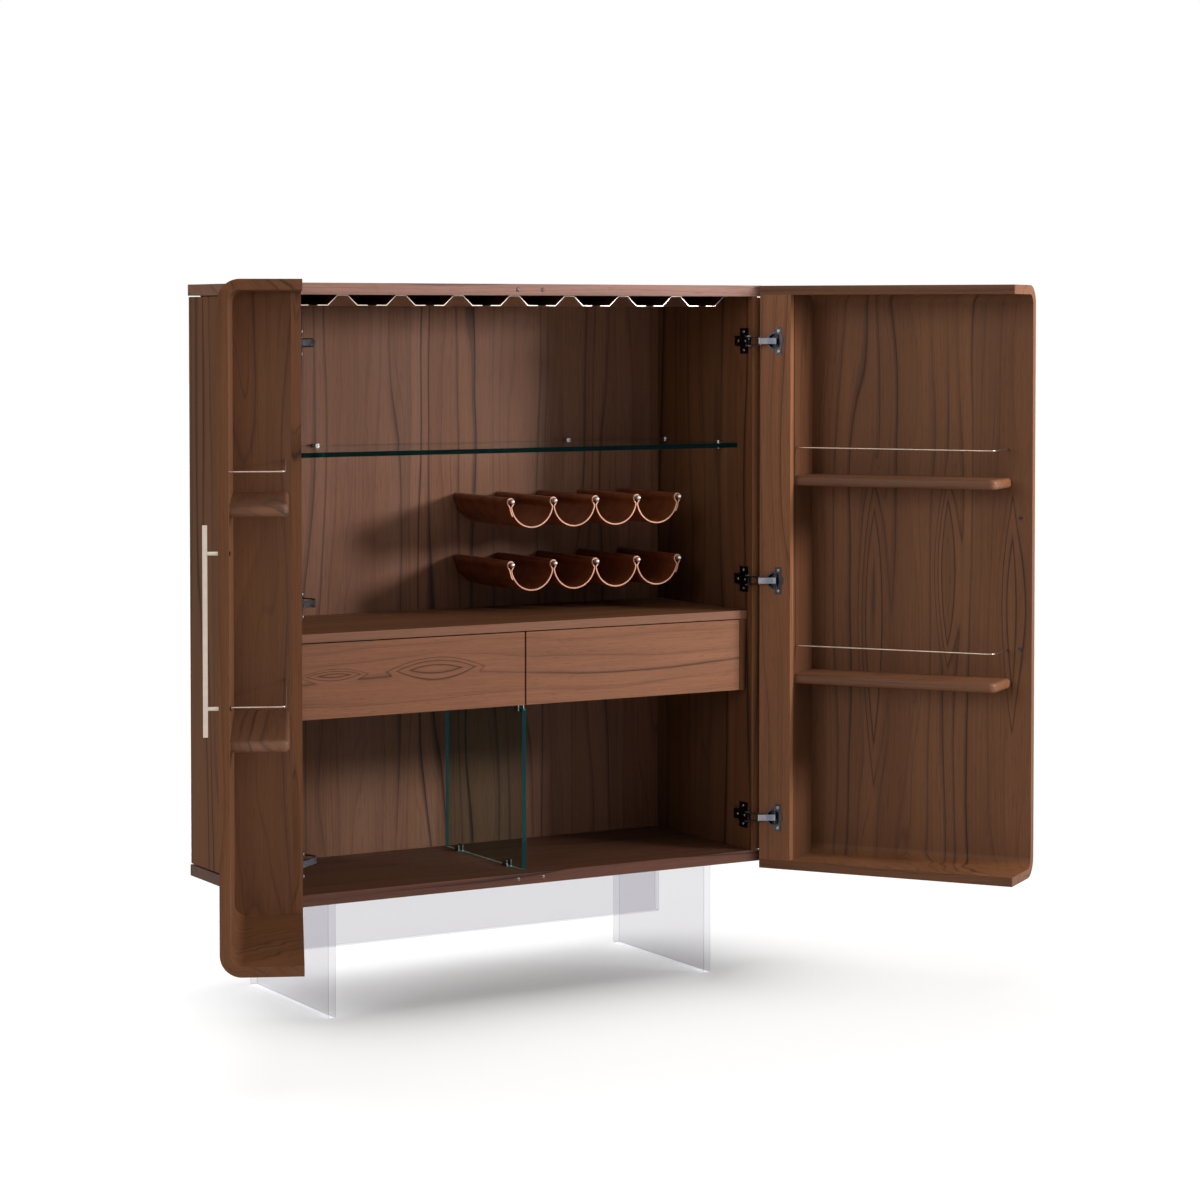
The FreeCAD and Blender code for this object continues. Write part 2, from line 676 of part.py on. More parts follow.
def build_drawers():
    """Two drawers: a front, two sides, a back and a bottom each."""
    heights = (DRAWER_FOOT, f"{DRAWER_FOOT} + drawer_side_height")
    floor_low = f"({DRAWER_FOOT} + drawer_bottom_rise)"
    back_front = f"({DRAWER_REAR} - drawer_side_thickness)"
    inner = "(upright_thickness / 2 + runner_space)"
    outer = f"({UPRIGHT_INSIDE} - runner_space)"
    fronts = both_ways("front_side_gap", f"{UPRIGHT_INSIDE} - front_side_gap")
    walls = {"near": both_ways(inner, f"{inner} + drawer_side_thickness"),
             "far": both_ways(f"{outer} - drawer_side_thickness", outer)}
    insides = both_ways(f"{inner} + drawer_side_thickness", f"{outer} - drawer_side_thickness")
    for side in SIDES:
        name = f"{SIDE_NAMES[side]}_drawer"
        keep(block(f"{name}_front", fronts[side], (COUNTER_FRONT, FRONT_BACK),
                   (f"{BANK_UNDER} + front_foot_gap", f"{COUNTER_UNDER} - front_head_gap")), f"{name}_front")
        sides = [block(f"{name}_{word}_side", spans[side], (FRONT_BACK, DRAWER_REAR), heights)
                 for word, spans in walls.items()]
        keep(group(f"{name}_sides", sides), f"{name}_sides")
        keep(block(f"{name}_back", insides[side], (back_front, DRAWER_REAR), heights), f"{name}_back")
        keep(block(f"{name}_bottom", insides[side], (FRONT_BACK, back_front),
                   (floor_low, f"{floor_low} + drawer_bottom_thickness")), f"{name}_bottom")


def build_latches():
    """Push latches on the back panel, each with a sprung plunger that meets the back of a drawer."""
    mouth = f"({BACK_FACE} - latch_length)"
    heights = (f"{RUNNER_LEVEL} - latch_height / 2", f"{RUNNER_LEVEL} + latch_height / 2")
    housings = []
    for side in SIDES:
        name = f"{SIDE_NAMES[side]}_latch"
        middle = f"({side} * latch_offset)"
        case = block(f"{name}_case", (f"{middle} - latch_width / 2", f"{middle} + latch_width / 2"),
                     (mouth, BACK_FACE), heights)
        bore = drum(f"{name}_bore", "plunger_radius + running_gap", "plunger_bore_depth + cut_overrun",
                    (middle, f"{mouth} - cut_overrun", RUNNER_LEVEL), "y")
        housings.append(cut(f"{name}_housing", case, [bore]))
        keep(drum(f"{name}_plunger", "plunger_radius", "plunger_length",
                  (middle, f"{DRAWER_REAR} + fit_gap", RUNNER_LEVEL), "y"), f"{name}_plunger")
    keep(group("latch_housings", housings), "latch_housings")


class Door:
    """One door in its own frame: x along the width, y from back plane to face, z up from its foot."""

    def __init__(self, side):
        self.side = side
        word = SIDE_NAMES[side]
        self.name = f"{word}_door"
        axis_in_door = at(self.from_hinge(f"{word}_axis_inset - door_edge_gap"),
                          f"{word}_axis_reach - door_gap", "0")
        axis = at(f"{side} * ({END} - {word}_axis_inset)", f"{FRONT} - {word}_axis_reach",
                  f"{UNDERSIDE} - door_drop")
        self.axis = Vector(axis.x, axis.y, 0)
        turn = Rotation(Vector(0, 0, 1), 180 + side * size(f"{word}_open_angle"))
        self.frame = Placement(axis, turn).multiply(Placement(axis_in_door * -1, Rotation()))

    def from_hinge(self, distance):
        """A distance from the hinge edge as a rule in the door's own x."""
        return f"({distance})" if self.side == RIGHT else f"({DOOR_WIDTH} - ({distance}))"

    def across(self, low, high):
        """A span measured from the hinge edge, in the door's own x."""
        ends = (self.from_hinge(low), self.from_hinge(high))
        return ends if self.side == RIGHT else ends[::-1]

    def build(self):
        """Make every piece that the door carries."""
        self.shell()
        self.hinge_post()
        self.bins()
        self.handle()
        self.cups()

    def rounded(self, body, name, base, depth_rule, radius_rule):
        """Round the two long edges that lie at a depth of the door."""
        depth = size(depth_rule)
        long_side = size(DOOR_WIDTH)
        chosen = []
        for number, edge in enumerate(base.Shape.Edges, start=1):
            box = edge.BoundBox
            if same(box.XLength, long_side) and same(box.YMin, depth) and same(box.YMax, depth):
                chosen.append(f"Edge{number}")
        fillet = body.newObject("PartDesign::Fillet", name)
        fillet.Base = (base, chosen)
        fillet.setExpression("Radius", formula(radius_rule))
        doc.recompute()
        return fillet

    def shell(self):
        """The face with its top and bottom walls, bent round as one section, bored for the handle screws."""
        label = f"{self.name}_shell"
        body = doc.addObject("PartDesign::Body", label)
        face = outline(body, f"{label}_outline", "YZ_Plane",
                       [("0", "0"), ("door_depth", "0"), ("door_depth", DOOR_HEIGHT), ("0", DOOR_HEIGHT)])
        pad = body.newObject("PartDesign::Pad", f"{label}_pad")
        pad.Profile = face
        pad.setExpression("Length", formula(DOOR_WIDTH))
        doc.recompute()
        outer = self.rounded(body, f"{label}_corners", pad, "door_depth", "door_corner")
        ceiling = f"({DOOR_HEIGHT} - door_wall)"
        room_outline = outline(body, f"{label}_room_outline", "YZ_Plane",
                               [("0", "door_wall"), (DOOR_INSIDE, "door_wall"), (DOOR_INSIDE, ceiling),
                                ("0", ceiling)])
        room = body.newObject("PartDesign::Pocket", f"{label}_room")
        room.Profile = room_outline
        room.Type = "ThroughAll"
        room.Reversed = True
        doc.recompute()
        inner = self.rounded(body, f"{label}_inner_corners", room, DOOR_INSIDE, "door_corner - door_wall")
        bores = plane_sketch(body, f"{label}_bores", "XZ_Plane")
        across = self.from_hinge(f"{DOOR_WIDTH} - handle_edge")
        bore_radius = "screw_radius + running_gap"
        for level in self.post_levels():
            place = Vector(size(across), size(level), 0)
            circle = bores.addGeometry(Part.Circle(place, Vector(0, 0, 1), size(bore_radius)), False)
            hold(bores, "DistanceX", circle, 3, across)
            hold(bores, "DistanceY", circle, 3, level)
            rounding = bores.addConstraint(Sketcher.Constraint("Radius", circle, size(bore_radius)))
            bores.setExpression(f"Constraints[{rounding}]", formula(bore_radius))
        drill = body.newObject("PartDesign::Pocket", f"{label}_drill")
        drill.Profile = bores
        drill.Type = "ThroughAll"
        drill.Midplane = True
        doc.recompute()
        if not drill.Shape.Volume < inner.Shape.Volume < outer.Shape.Volume:
            raise RuntimeError(f"{label}: a cut takes nothing away")
        keep(body, label, self.frame)

    def post_levels(self):
        """Heights of the two handle posts over the door's foot."""
        return [f"(handle_level + door_drop + {sign} * post_spacing / 2)" for sign in SIDES]

    def wall_board(self, name, x_span):
        """A board across the inside of the shell, rounded to its inner corners."""
        board = block(f"{name}_board", x_span, ("stile_thickness", DOOR_INSIDE),
                      ("door_wall", f"{DOOR_HEIGHT} - door_wall"))
        inside = size(DOOR_INSIDE)
        fitted = eased(name, board, "door_corner - door_wall",
                       lambda box: same(box.XLength, size("hinge_wall")) and same(box.Center.y, inside))
        keep(fitted, name, self.frame)

    def hinge_post(self):
        """End board, return and stile, which make a hollow post along the hinge edge."""
        self.wall_board(f"{self.name}_end_board", self.across("0", "hinge_wall"))
        self.wall_board(f"{self.name}_stile_return", self.across("stile_width - hinge_wall", "stile_width"))
        label = f"{self.name}_hinge_stile"
        stile = block(f"{label}_board", self.across("0", "stile_width"), ("0", "stile_thickness"),
                      ("door_wall", f"{DOOR_HEIGHT} - door_wall"))
        bores = [drum(f"{label}_{word}_bore", "cup_radius + fit_gap", "cup_depth + fit_gap + cut_overrun",
                      (self.from_hinge("cup_offset"), "0 - cut_overrun", f"{level} + door_drop"), "y")
                 for word, level in HINGE_LEVELS.items()]
        keep(cut(label, stile, bores), label, self.frame)

    def bins(self):
        """Two shelves with a rounded nose and free corner, and a thin gallery rail over each."""
        x_span = self.across("stile_width", f"{DOOR_WIDTH} - bin_end_gap")
        free_end = size(self.from_hinge(f"{DOOR_WIDTH} - bin_end_gap"))
        fixed_end = size(self.from_hinge("stile_width"))
        nose = size("bin_setback")
        inside = size(DOOR_INSIDE)
        shelves = []
        rails = []
        for row_name in ("upper", "lower"):
            name = f"{self.name}_{row_name}_shelf"
            top = f"({row_name}_bin_level + door_drop)"
            board = block(f"{name}_board", x_span, ("bin_setback", DOOR_INSIDE),
                          (f"{top} - bin_thickness", top))
            cornered = eased(f"{name}_cornered", board, "bin_corner",
                             lambda box: upright_edge(box) and same(box.Center.x, free_end)
                             and same(box.Center.y, nose))
            shelves.append(eased(name, cornered, "bin_nose",
                                 lambda box: same(box.ZLength, 0) and not same(box.Center.x, fixed_end)
                                 and not same(box.Center.y, inside)))
            rails.append(self.gallery(row_name, f"({top} + gallery_rise)"))
        keep(group(f"{self.name}_shelves", shelves), f"{self.name}_shelves", self.frame)
        keep(group(f"{self.name}_gallery_rails", rails), f"{self.name}_gallery_rails", self.frame)

    def gallery(self, row_name, level):
        """One rail from the stile return, bent round to the face."""
        name = f"{self.name}_{row_name}_gallery"
        bend = size("gallery_bend")
        near = at(self.from_hinge("stile_width"), "gallery_setback", level)
        corner = at(self.from_hinge(f"{DOOR_WIDTH} - gallery_end_gap"), "gallery_setback", level)
        bend_start = corner - Vector(bend, 0, 0) * self.side
        bend_end = corner + Vector(0, bend, 0)
        hub = bend_start + Vector(0, bend, 0)
        halfway = hub + (corner - hub).normalize() * bend
        finish = Vector(corner.x, size(DOOR_INSIDE), corner.z)
        route = doc.addObject("Part::Feature", f"{name}_route")
        route.Shape = Part.Wire([Part.makeLine(near, bend_start),
                                 Part.Arc(bend_start, halfway, bend_end).toShape(),
                                 Part.makeLine(bend_end, finish)])
        section = doc.addObject("Part::Circle", f"{name}_section")
        section.setExpression("Radius", formula("gallery_radius"))
        section.Placement = Placement(near, TURNS["x"])
        rail = doc.addObject("Part::Sweep", name)
        rail.Sections = [section]
        rail.Spine = (route, [f"Edge{number}" for number in range(1, len(route.Shape.Edges) + 1)])
        rail.Solid = True
        return rail

    def handle(self):
        """A square bar on two round posts, with screws through the face."""
        across = self.from_hinge(f"{DOOR_WIDTH} - handle_edge")
        level = "(handle_level + door_drop)"
        bar = block(f"{self.name}_bar", (f"{across} - bar_size / 2", f"{across} + bar_size / 2"),
                    ("door_depth + post_length", "door_depth + post_length + bar_size"),
                    (f"{level} - bar_length / 2", f"{level} + bar_length / 2"))
        posts = []
        bores = []
        screws = []
        for number, height in enumerate(self.post_levels(), start=1):
            name = f"{self.name}_post_{number}"
            posts.append(drum(name, "post_radius", "post_length", (across, "door_depth", height), "y"))
            bores.append(drum(f"{name}_bore", "screw_radius + running_gap",
                              "screw_grip + fit_gap + cut_overrun",
                              (across, "door_depth - cut_overrun", height), "y"))
            shank = drum(f"{name}_shank", "screw_radius", "door_wall + screw_grip",
                         (across, DOOR_INSIDE, height), "y")
            head = drum(f"{name}_screw_head", "screw_head_radius", "screw_head_height",
                        (across, f"{DOOR_INSIDE} - screw_head_height", height), "y")
            screws.append(fuse(f"{name}_screw", [shank, head]))
        whole = fuse(f"{self.name}_bar_and_posts", [bar] + posts)
        keep(cut(f"{self.name}_handle", whole, bores), f"{self.name}_handle", self.frame)
        keep(group(f"{self.name}_handle_screws", screws), f"{self.name}_handle_screws", self.frame)

    def cups(self):
        """The three hinge cups, each with its collar, its screw flange on the stile and a pin across it."""
        across = self.from_hinge("cup_offset")
        flange = self.across("cup_offset + cup_wall", "cup_offset + cup_wall + flange_width")
        proud = "0 - flange_thickness"
        cups = []
        for word, hinge_level in HINGE_LEVELS.items():
            name = f"{self.name}_{word}_cup"
            level = f"({hinge_level} + door_drop)"
            pot = drum(f"{name}_pot", "cup_radius", "cup_depth + flange_thickness",
                       (across, proud, level), "y")
            collar = drum(f"{name}_collar", "collar_radius", "flange_thickness", (across, proud, level), "y")
            ear = block(f"{name}_flange", flange, (proud, "0"),
                        (f"{level} - flange_height / 2", f"{level} + flange_height / 2"))
            room = drum(f"{name}_room", "cup_radius - cup_wall",
                        "cup_depth - cup_wall + flange_thickness + cut_overrun",
                        (across, f"{proud} - cut_overrun", level), "y")
            hollow = cut(f"{name}_hollow", fuse(f"{name}_solid", [pot, collar, ear]), [room])
            pin = drum(f"{name}_pin", "hinge_pin_radius", "2 * cup_radius - cup_wall",
                       (across, "cup_pivot_depth", f"{level} - cup_radius + cup_wall / 2"))
            cups.append(fuse(name, [hollow, pin]))
        keep(group(f"{self.name}_hinge_cups", cups), f"{self.name}_hinge_cups", self.frame)

    def cup_pivot(self):
        """Where the outer links meet the cups, in the plan."""
        place = self.frame.multVec(at(self.from_hinge("cup_offset"), "cup_pivot_depth", "0"))
        return Vector(place.x, place.y, 0)


def hinge_arm(side, word):
    """One arm on a side panel: mounting plate, arm, two ears and their pins."""
    name = f"{SIDE_NAMES[side]}_{word}_arm"
    level = f"({UNDERSIDE} + {HINGE_LEVELS[word]})"
    pivot_distance = f"({END} - {SIDE_NAMES[side]}_arm_pivot_inset)"
    pivot = (f"({side} * {pivot_distance})", f"({FRONT} + arm_pivot_depth)")
    plate_front = f"({FRONT} + plate_setback)"
    pieces = [
        block(f"{name}_body", both_ways(f"{SIDE_INSIDE} - arm_thickness", SIDE_INSIDE)[side],
              (pivot[1], f"{FRONT} + arm_length"),
              (f"{level} - arm_height / 2", f"{level} + arm_height / 2")),
        block(f"{name}_plate", both_ways(f"{SIDE_INSIDE} - plate_thickness", SIDE_INSIDE)[side],
              (plate_front, f"{plate_front} + plate_width"),
              (f"{level} - plate_height / 2", f"{level} + plate_height / 2")),
    ]
    for sign, (low, high) in both_ways(EAR_LOW, EAR_HIGH).items():
        ear_name = f"{name}_ear_{sign + 2}"
        foot = f"{level} + ({low})"
        pieces.append(block(ear_name, both_ways(pivot_distance, SIDE_INSIDE)[side],
                            (f"{pivot[1]} - ear_radius", f"{pivot[1]} + ear_radius"),
                            (foot, f"{level} + ({high})")))
        pieces.append(drum(f"{ear_name}_round", "ear_radius", "ear_thickness", (*pivot, foot)))
        pin_low, pin_high = both_ways(LINK_PLATE_LOW, EAR_HIGH)[sign]
        pieces.append(drum(f"{ear_name}_pin", "hinge_pin_radius", f"({pin_high}) - ({pin_low})",
                           (*pivot, f"{level} + ({pin_low})")))
    return fuse(name, pieces)


def strap(name, length, radius, low, high):
    """A flat link with round ends, along x from its first pivot."""
    return [block(f"{name}_bar", ("0", length), (f"0 - {radius}", radius), (low, high)),
            drum(f"{name}_first", radius, f"({high}) - ({low})", ("0", "0", low)),
            drum(f"{name}_last", radius, f"({high}) - ({low})", (length, "0", low))]


def inner_link(name, length):
    """Two plates on the arm's pins, joined by the pin of the knee."""
    pieces = [drum(f"{name}_knee_pin", "hinge_pin_radius", f"2 * {LINK_PLATE_HIGH}",
                   (length, "0", f"0 - {LINK_PLATE_HIGH}"))]
    for sign, (low, high) in both_ways(LINK_PLATE_LOW, LINK_PLATE_HIGH).items():
        pieces += strap(f"{name}_plate_{sign + 2}", length, "inner_link_radius", low, high)
    bore = drum(f"{name}_bore", "hinge_pin_radius + running_gap", f"2 * ({LINK_PLATE_HIGH} + cut_overrun)",
                ("0", "0", f"0 - {LINK_PLATE_HIGH} - cut_overrun"))
    return cut(name, fuse(f"{name}_solid", pieces), [bore])


def outer_link(name, length):
    """A thick strap with an eye on the knee pin and another on the pin of the cup."""
    pieces = strap(name, length, "outer_link_radius", f"0 - {LINK_HALF}", LINK_HALF)
    eyes = [drum(f"{name}_{word}_eye", "hinge_pin_radius + running_gap", f"2 * ({LINK_HALF} + cut_overrun)",
                 (along, "0", f"0 - {LINK_HALF} - cut_overrun"))
            for word, along in (("knee", "0"), ("cup", length))]
    return cut(name, fuse(f"{name}_solid", pieces), eyes)


def along_line(start, finish, level):
    """The place of a link that runs from one pivot to another at a height."""
    run = finish - start
    turn = Rotation(Vector(0, 0, 1), math.degrees(math.atan2(run.y, run.x)))
    return Placement(start + Vector(0, 0, level), turn)


def build_hinges(doors):
    """Arms on the side panels, and the two links of each hinge."""
    arms = [hinge_arm(side, word) for side in SIDES for word in HINGE_LEVELS]
    keep(group("hinge_arms", arms), "hinge_arms")
    for door in doors:
        side_name = SIDE_NAMES[door.side]
        start = at(f"{door.side} * ({END} - {side_name}_arm_pivot_inset)", f"{FRONT} + arm_pivot_depth", "0")
        finish = door.cup_pivot()
        # the knee completes a parallelogram with the door's axis, so the pins meet at every angle
        bend = start + finish - door.axis
        inner_links = []
        outer_links = []
        for word, hinge_level in HINGE_LEVELS.items():
            level = size(f"{UNDERSIDE} + {hinge_level}")
            inner = inner_link(f"{side_name}_{word}_inner_link", INNER_LINK[door.side])
            inner.Placement = along_line(start, bend, level)
            inner_links.append(inner)
            outer = outer_link(f"{side_name}_{word}_outer_link", OUTER_LINK[door.side])
            outer.Placement = along_line(bend, finish, level)
            outer_links.append(outer)
        keep(group(f"{side_name}_hinge_inner_links", inner_links), f"{side_name}_hinge_inner_links")
        keep(group(f"{side_name}_hinge_outer_links", outer_links), f"{side_name}_hinge_outer_links")


def check_document():
    """Stop if any object failed, or any node's shape is missing or faulty."""
    doc.recompute()
    for item in doc.Objects:
        if "Invalid" in item.State or "Error" in item.State:
            raise RuntimeError(f"{item.Label} failed: {item.State}")
    for piece in nodes:
        if piece.Shape.isNull() or not piece.Shape.isValid() or not piece.Shape.Solids:
            raise RuntimeError(f"{piece.Label} has no sound shape")


def write_nodes():
    """Write each node to its own file."""
    os.makedirs("parts", exist_ok=True)
    for piece in nodes:
        piece.Shape.exportStep(f"parts/{piece.Label}.step")


def main():
    """Build every sub-assembly, check it and write the nodes."""
    build_carcass()
    build_bumpers()
    build_base()
    build_stemware()
    build_glass_shelf()
    build_divider()
    build_slings()
    build_counter_and_bank()
    build_runners()
    build_drawers()
    build_latches()
    doors = [Door(side) for side in SIDES]
    for door in doors:
        door.build()
    build_hinges(doors)
    check_document()
    write_nodes()


main()
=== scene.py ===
"""Looks of the bar armoire: walnut veneer, clear slabs, glass, saddle leather slings and plated fittings."""

import json
import logging
import math
from dataclasses import dataclass, field
from enum import Enum
from typing import Iterable, Mapping, Optional, Sequence, Union

import bmesh
import bpy
from bmesh.types import BMEdge, BMesh, BMFace, BMVert
from bpy.types import ID, Collection, Material, Node, NodeSocket, NodeTree, Object
from mathutils import Matrix, Vector


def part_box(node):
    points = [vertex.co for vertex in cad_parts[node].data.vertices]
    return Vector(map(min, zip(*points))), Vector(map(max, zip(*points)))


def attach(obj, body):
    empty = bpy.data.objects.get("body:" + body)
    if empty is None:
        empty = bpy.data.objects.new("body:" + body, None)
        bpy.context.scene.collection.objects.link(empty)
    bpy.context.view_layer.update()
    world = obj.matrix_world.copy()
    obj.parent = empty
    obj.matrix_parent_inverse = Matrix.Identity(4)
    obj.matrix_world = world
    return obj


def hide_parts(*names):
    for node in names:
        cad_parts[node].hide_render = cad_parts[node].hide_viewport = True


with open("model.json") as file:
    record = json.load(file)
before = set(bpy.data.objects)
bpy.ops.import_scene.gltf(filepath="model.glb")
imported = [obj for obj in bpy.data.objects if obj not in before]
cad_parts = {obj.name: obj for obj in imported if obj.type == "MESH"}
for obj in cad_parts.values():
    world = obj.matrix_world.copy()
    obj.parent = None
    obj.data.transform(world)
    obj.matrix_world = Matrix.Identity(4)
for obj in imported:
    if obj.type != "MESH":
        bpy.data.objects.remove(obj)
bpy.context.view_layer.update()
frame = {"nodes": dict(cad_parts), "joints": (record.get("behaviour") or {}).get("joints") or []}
LOG = logging.getLogger("bar_armoire")
MM = 0.001
LEFT, RIGHT = -1, 1
SIDE_NAMES = {LEFT: "left", RIGHT: "right"}
HINGE_LEVELS = (1394.0 * MM, 866.0 * MM, 341.0 * MM)

Triple = tuple[float, float, float]
Colour = Triple
Feed = Union[float, Sequence[float], NodeSocket]
Inputs = dict[Union[int, str], Feed]
BLACK: Colour = (0.0, 0.0, 0.0)
WHITE: Colour = (1.0, 1.0, 1.0)


class Grain(Enum):
    """The way that the fibres of a board run."""

    UPRIGHT = "upright"
    ACROSS = "across"
    DEEP = "deep"


class Facing(Enum):
    """The axis that the broad faces of a clear slab look along."""

    X = "X"
    Y = "Y"
    Z = "Z"


class Reach(Enum):
    """What a lamp lights."""

    FLOOR = "floor"
    OBJECT = "object"
    LEFT_DOOR = "inside of the left door"


@dataclass
class Graph:
    """A node tree, with short calls for the nodes that the finishes use."""

    tree: NodeTree

    def fill(self, node: Node, inputs: Inputs) -> None:
        """Link the inputs of a node to other sockets, or set their own values.

        Args:
            node: The node.
            inputs: A socket or a plain value for each input, by its name or number. Colours are opaque.
        """
        for key, value in inputs.items():
            socket = node.inputs[key]
            if isinstance(value, NodeSocket):
                self.tree.links.new(value, socket)
            else:
                socket.default_value = (*value, 1.0) if socket.type == "RGBA" else value

    def add(self, kind: str, inputs: Optional[Inputs] = None, **settings: object) -> Node:
        """Add a node.

        Args:
            kind: Blender's name for the node.
            inputs: What its inputs are fed with.
            settings: Its own properties.

        Returns:
            The new node.
        """
        node = self.tree.nodes.new(kind)
        for name, value in settings.items():
            setattr(node, name, value)
        self.fill(node, inputs or {})
        return node

    def calc(self, operation: str, first: Feed, second: Feed = 0.0) -> NodeSocket:
        """Combine two values by a math operation."""
        return self.add("ShaderNodeMath", {0: first, 1: second}, operation=operation).outputs[0]

    def plus(self, first: Feed, second: Feed) -> NodeSocket:
        """Add two values."""
        return self.calc("ADD", first, second)

    def minus(self, first: Feed, second: Feed) -> NodeSocket:
        """Take the second value from the first."""
        return self.calc("SUBTRACT", first, second)

    def times(self, first: Feed, second: Feed) -> NodeSocket:
        """Multiply two values."""
        return self.calc("MULTIPLY", first, second)

    def most(self, first: Feed, second: Feed) -> NodeSocket:
        """Give the greater of two values."""
        return self.calc("MAXIMUM", first, second)

    def vector(self, operation: str, first: Feed, second: Feed) -> NodeSocket:
        """Combine two vectors by a vector operation."""
        return self.add("ShaderNodeVectorMath", {0: first, 1: second}, operation=operation).outputs[0]

    def parts(self, vector: Feed) -> Mapping[str, NodeSocket]:
        """Split a vector into its X, Y and Z."""
        return self.add("ShaderNodeSeparateXYZ", {"Vector": vector}).outputs

    def place(self) -> NodeSocket:
        """Give the coordinates that ride with the object."""
        return self.add("ShaderNodeTexCoord").outputs["Object"]

    def normal(self) -> NodeSocket:
        """Give the direction that the surface looks in, which rides with the object too."""
        return self.add("ShaderNodeTexCoord").outputs["Normal"]

    def turned(self, place: Feed, turn: Triple, offset: Triple = (0.0, 0.0, 0.0)) -> NodeSocket:
        """Turn coordinates by angles in radians, then shift them."""
        inputs = {"Vector": place, "Location": offset, "Rotation": turn}
        return self.add("ShaderNodeMapping", inputs).outputs["Vector"]

    def noise(self, place: Feed, scale: Feed, detail: float = 2.0, rough: float = 0.5,
              output: str = "Fac") -> NodeSocket:
        """Read a noise texture, with its scale in cells per metre."""
        inputs = {"Vector": place, "Scale": scale, "Detail": detail, "Roughness": rough}
        return self.add("ShaderNodeTexNoise", inputs).outputs[output]

    def ramp(self, value: Feed, low: Feed, high: Feed, start: float = 0.0, end: float = 1.0) -> NodeSocket:
        """Ease a value from the range of low to high into that of start to end."""
        inputs = {"Value": value, "From Min": low, "From Max": high, "To Min": start, "To Max": end}
        return self.add("ShaderNodeMapRange", inputs, interpolation_type="SMOOTHSTEP").outputs["Result"]

    def blend(self, share: Feed, low: Feed, high: Feed, mode: str = "MIX") -> NodeSocket:
        """Mix two colours by the share of the second one."""
        inputs = {0: share, 6: low, 7: high}
        return self.add("ShaderNodeMix", inputs, data_type="RGBA", blend_type=mode).outputs[2]

    def choose(self, share: Feed, low: Feed, high: Feed) -> NodeSocket:
        """Mix two vectors by the share of the second one."""
        return self.add("ShaderNodeMix", {0: share, 4: low, 5: high}, data_type="VECTOR").outputs[1]

    def chance(self, number: Feed) -> NodeSocket:
        """Give a fixed chance value between 0 and 1 for the whole part of a number."""
        whole = self.calc("FLOOR", number)
        return self.add("ShaderNodeTexWhiteNoise", {"W": whole}, noise_dimensions="1D").outputs["Value"]

    def bump(self, height: Feed, strength: float, distance: float) -> NodeSocket:
        """Turn a height from 0 to 1 into a normal, with its depth in metres."""
        inputs = {"Height": height, "Strength": strength, "Distance": distance}
        return self.add("ShaderNodeBump", inputs).outputs["Normal"]

    def shown(self) -> NodeSocket:
        """Give 1 to the camera's rays, to reflections and through clear pieces, and 0 to the light."""
        rays = self.add("ShaderNodeLightPath").outputs
        return self.most(self.most(rays["Is Camera Ray"], rays["Is Glossy Ray"]),
                         rays["Is Transmission Ray"])


class Effect:
    """A shared effect of a vector and some values, kept as a node group that several finishes use."""

    def __init__(self, name: str, values: dict[str, float], outputs: Iterable[str]) -> None:
        """Make an empty group with named sockets.

        Args:
            name: The group's name.
            values: The values that it reads besides the vector, each with its usual amount.
            outputs: The values that it puts out.
        """
        self.tree = bpy.data.node_groups.new(name, "ShaderNodeTree")
        sockets = self.tree.interface
        sockets.new_socket("Vector", in_out="INPUT", socket_type="NodeSocketVector")
        for label, usual in values.items():
            sockets.new_socket(label, in_out="INPUT", socket_type="NodeSocketFloat").default_value = usual
        for label in outputs:
            sockets.new_socket(label, in_out="OUTPUT", socket_type="NodeSocketFloat")
        self.graph = Graph(self.tree)
        self.inner = self.graph.add("NodeGroupInput")
        self.outer = self.graph.add("NodeGroupOutput")

    def read(self, name: str) -> NodeSocket:
        """Give the socket inside the group that carries an input."""
        return self.inner.outputs[name]

    def use(self, graph: Graph, inputs: Inputs) -> Mapping[str, NodeSocket]:
        """Place the effect in a material, and give its outputs."""
        return graph.add("ShaderNodeGroup", inputs, node_tree=self.tree).outputs


@dataclass(frozen=True)
class Streak:
    """A noise that is drawn out along the fibres."""

    scale: float
    squeeze: float
    detail: float = 2.0
    rough: float = 0.5

    def read(self, graph: Graph, place: NodeSocket, output: str = "Fac") -> NodeSocket:
        """Read the noise, with the place squeezed along z so that the noise comes out long."""
        drawn = graph.vector("MULTIPLY", place, (1.0, 1.0, self.squeeze))
        return graph.noise(drawn, self.scale, self.detail, self.rough, output)


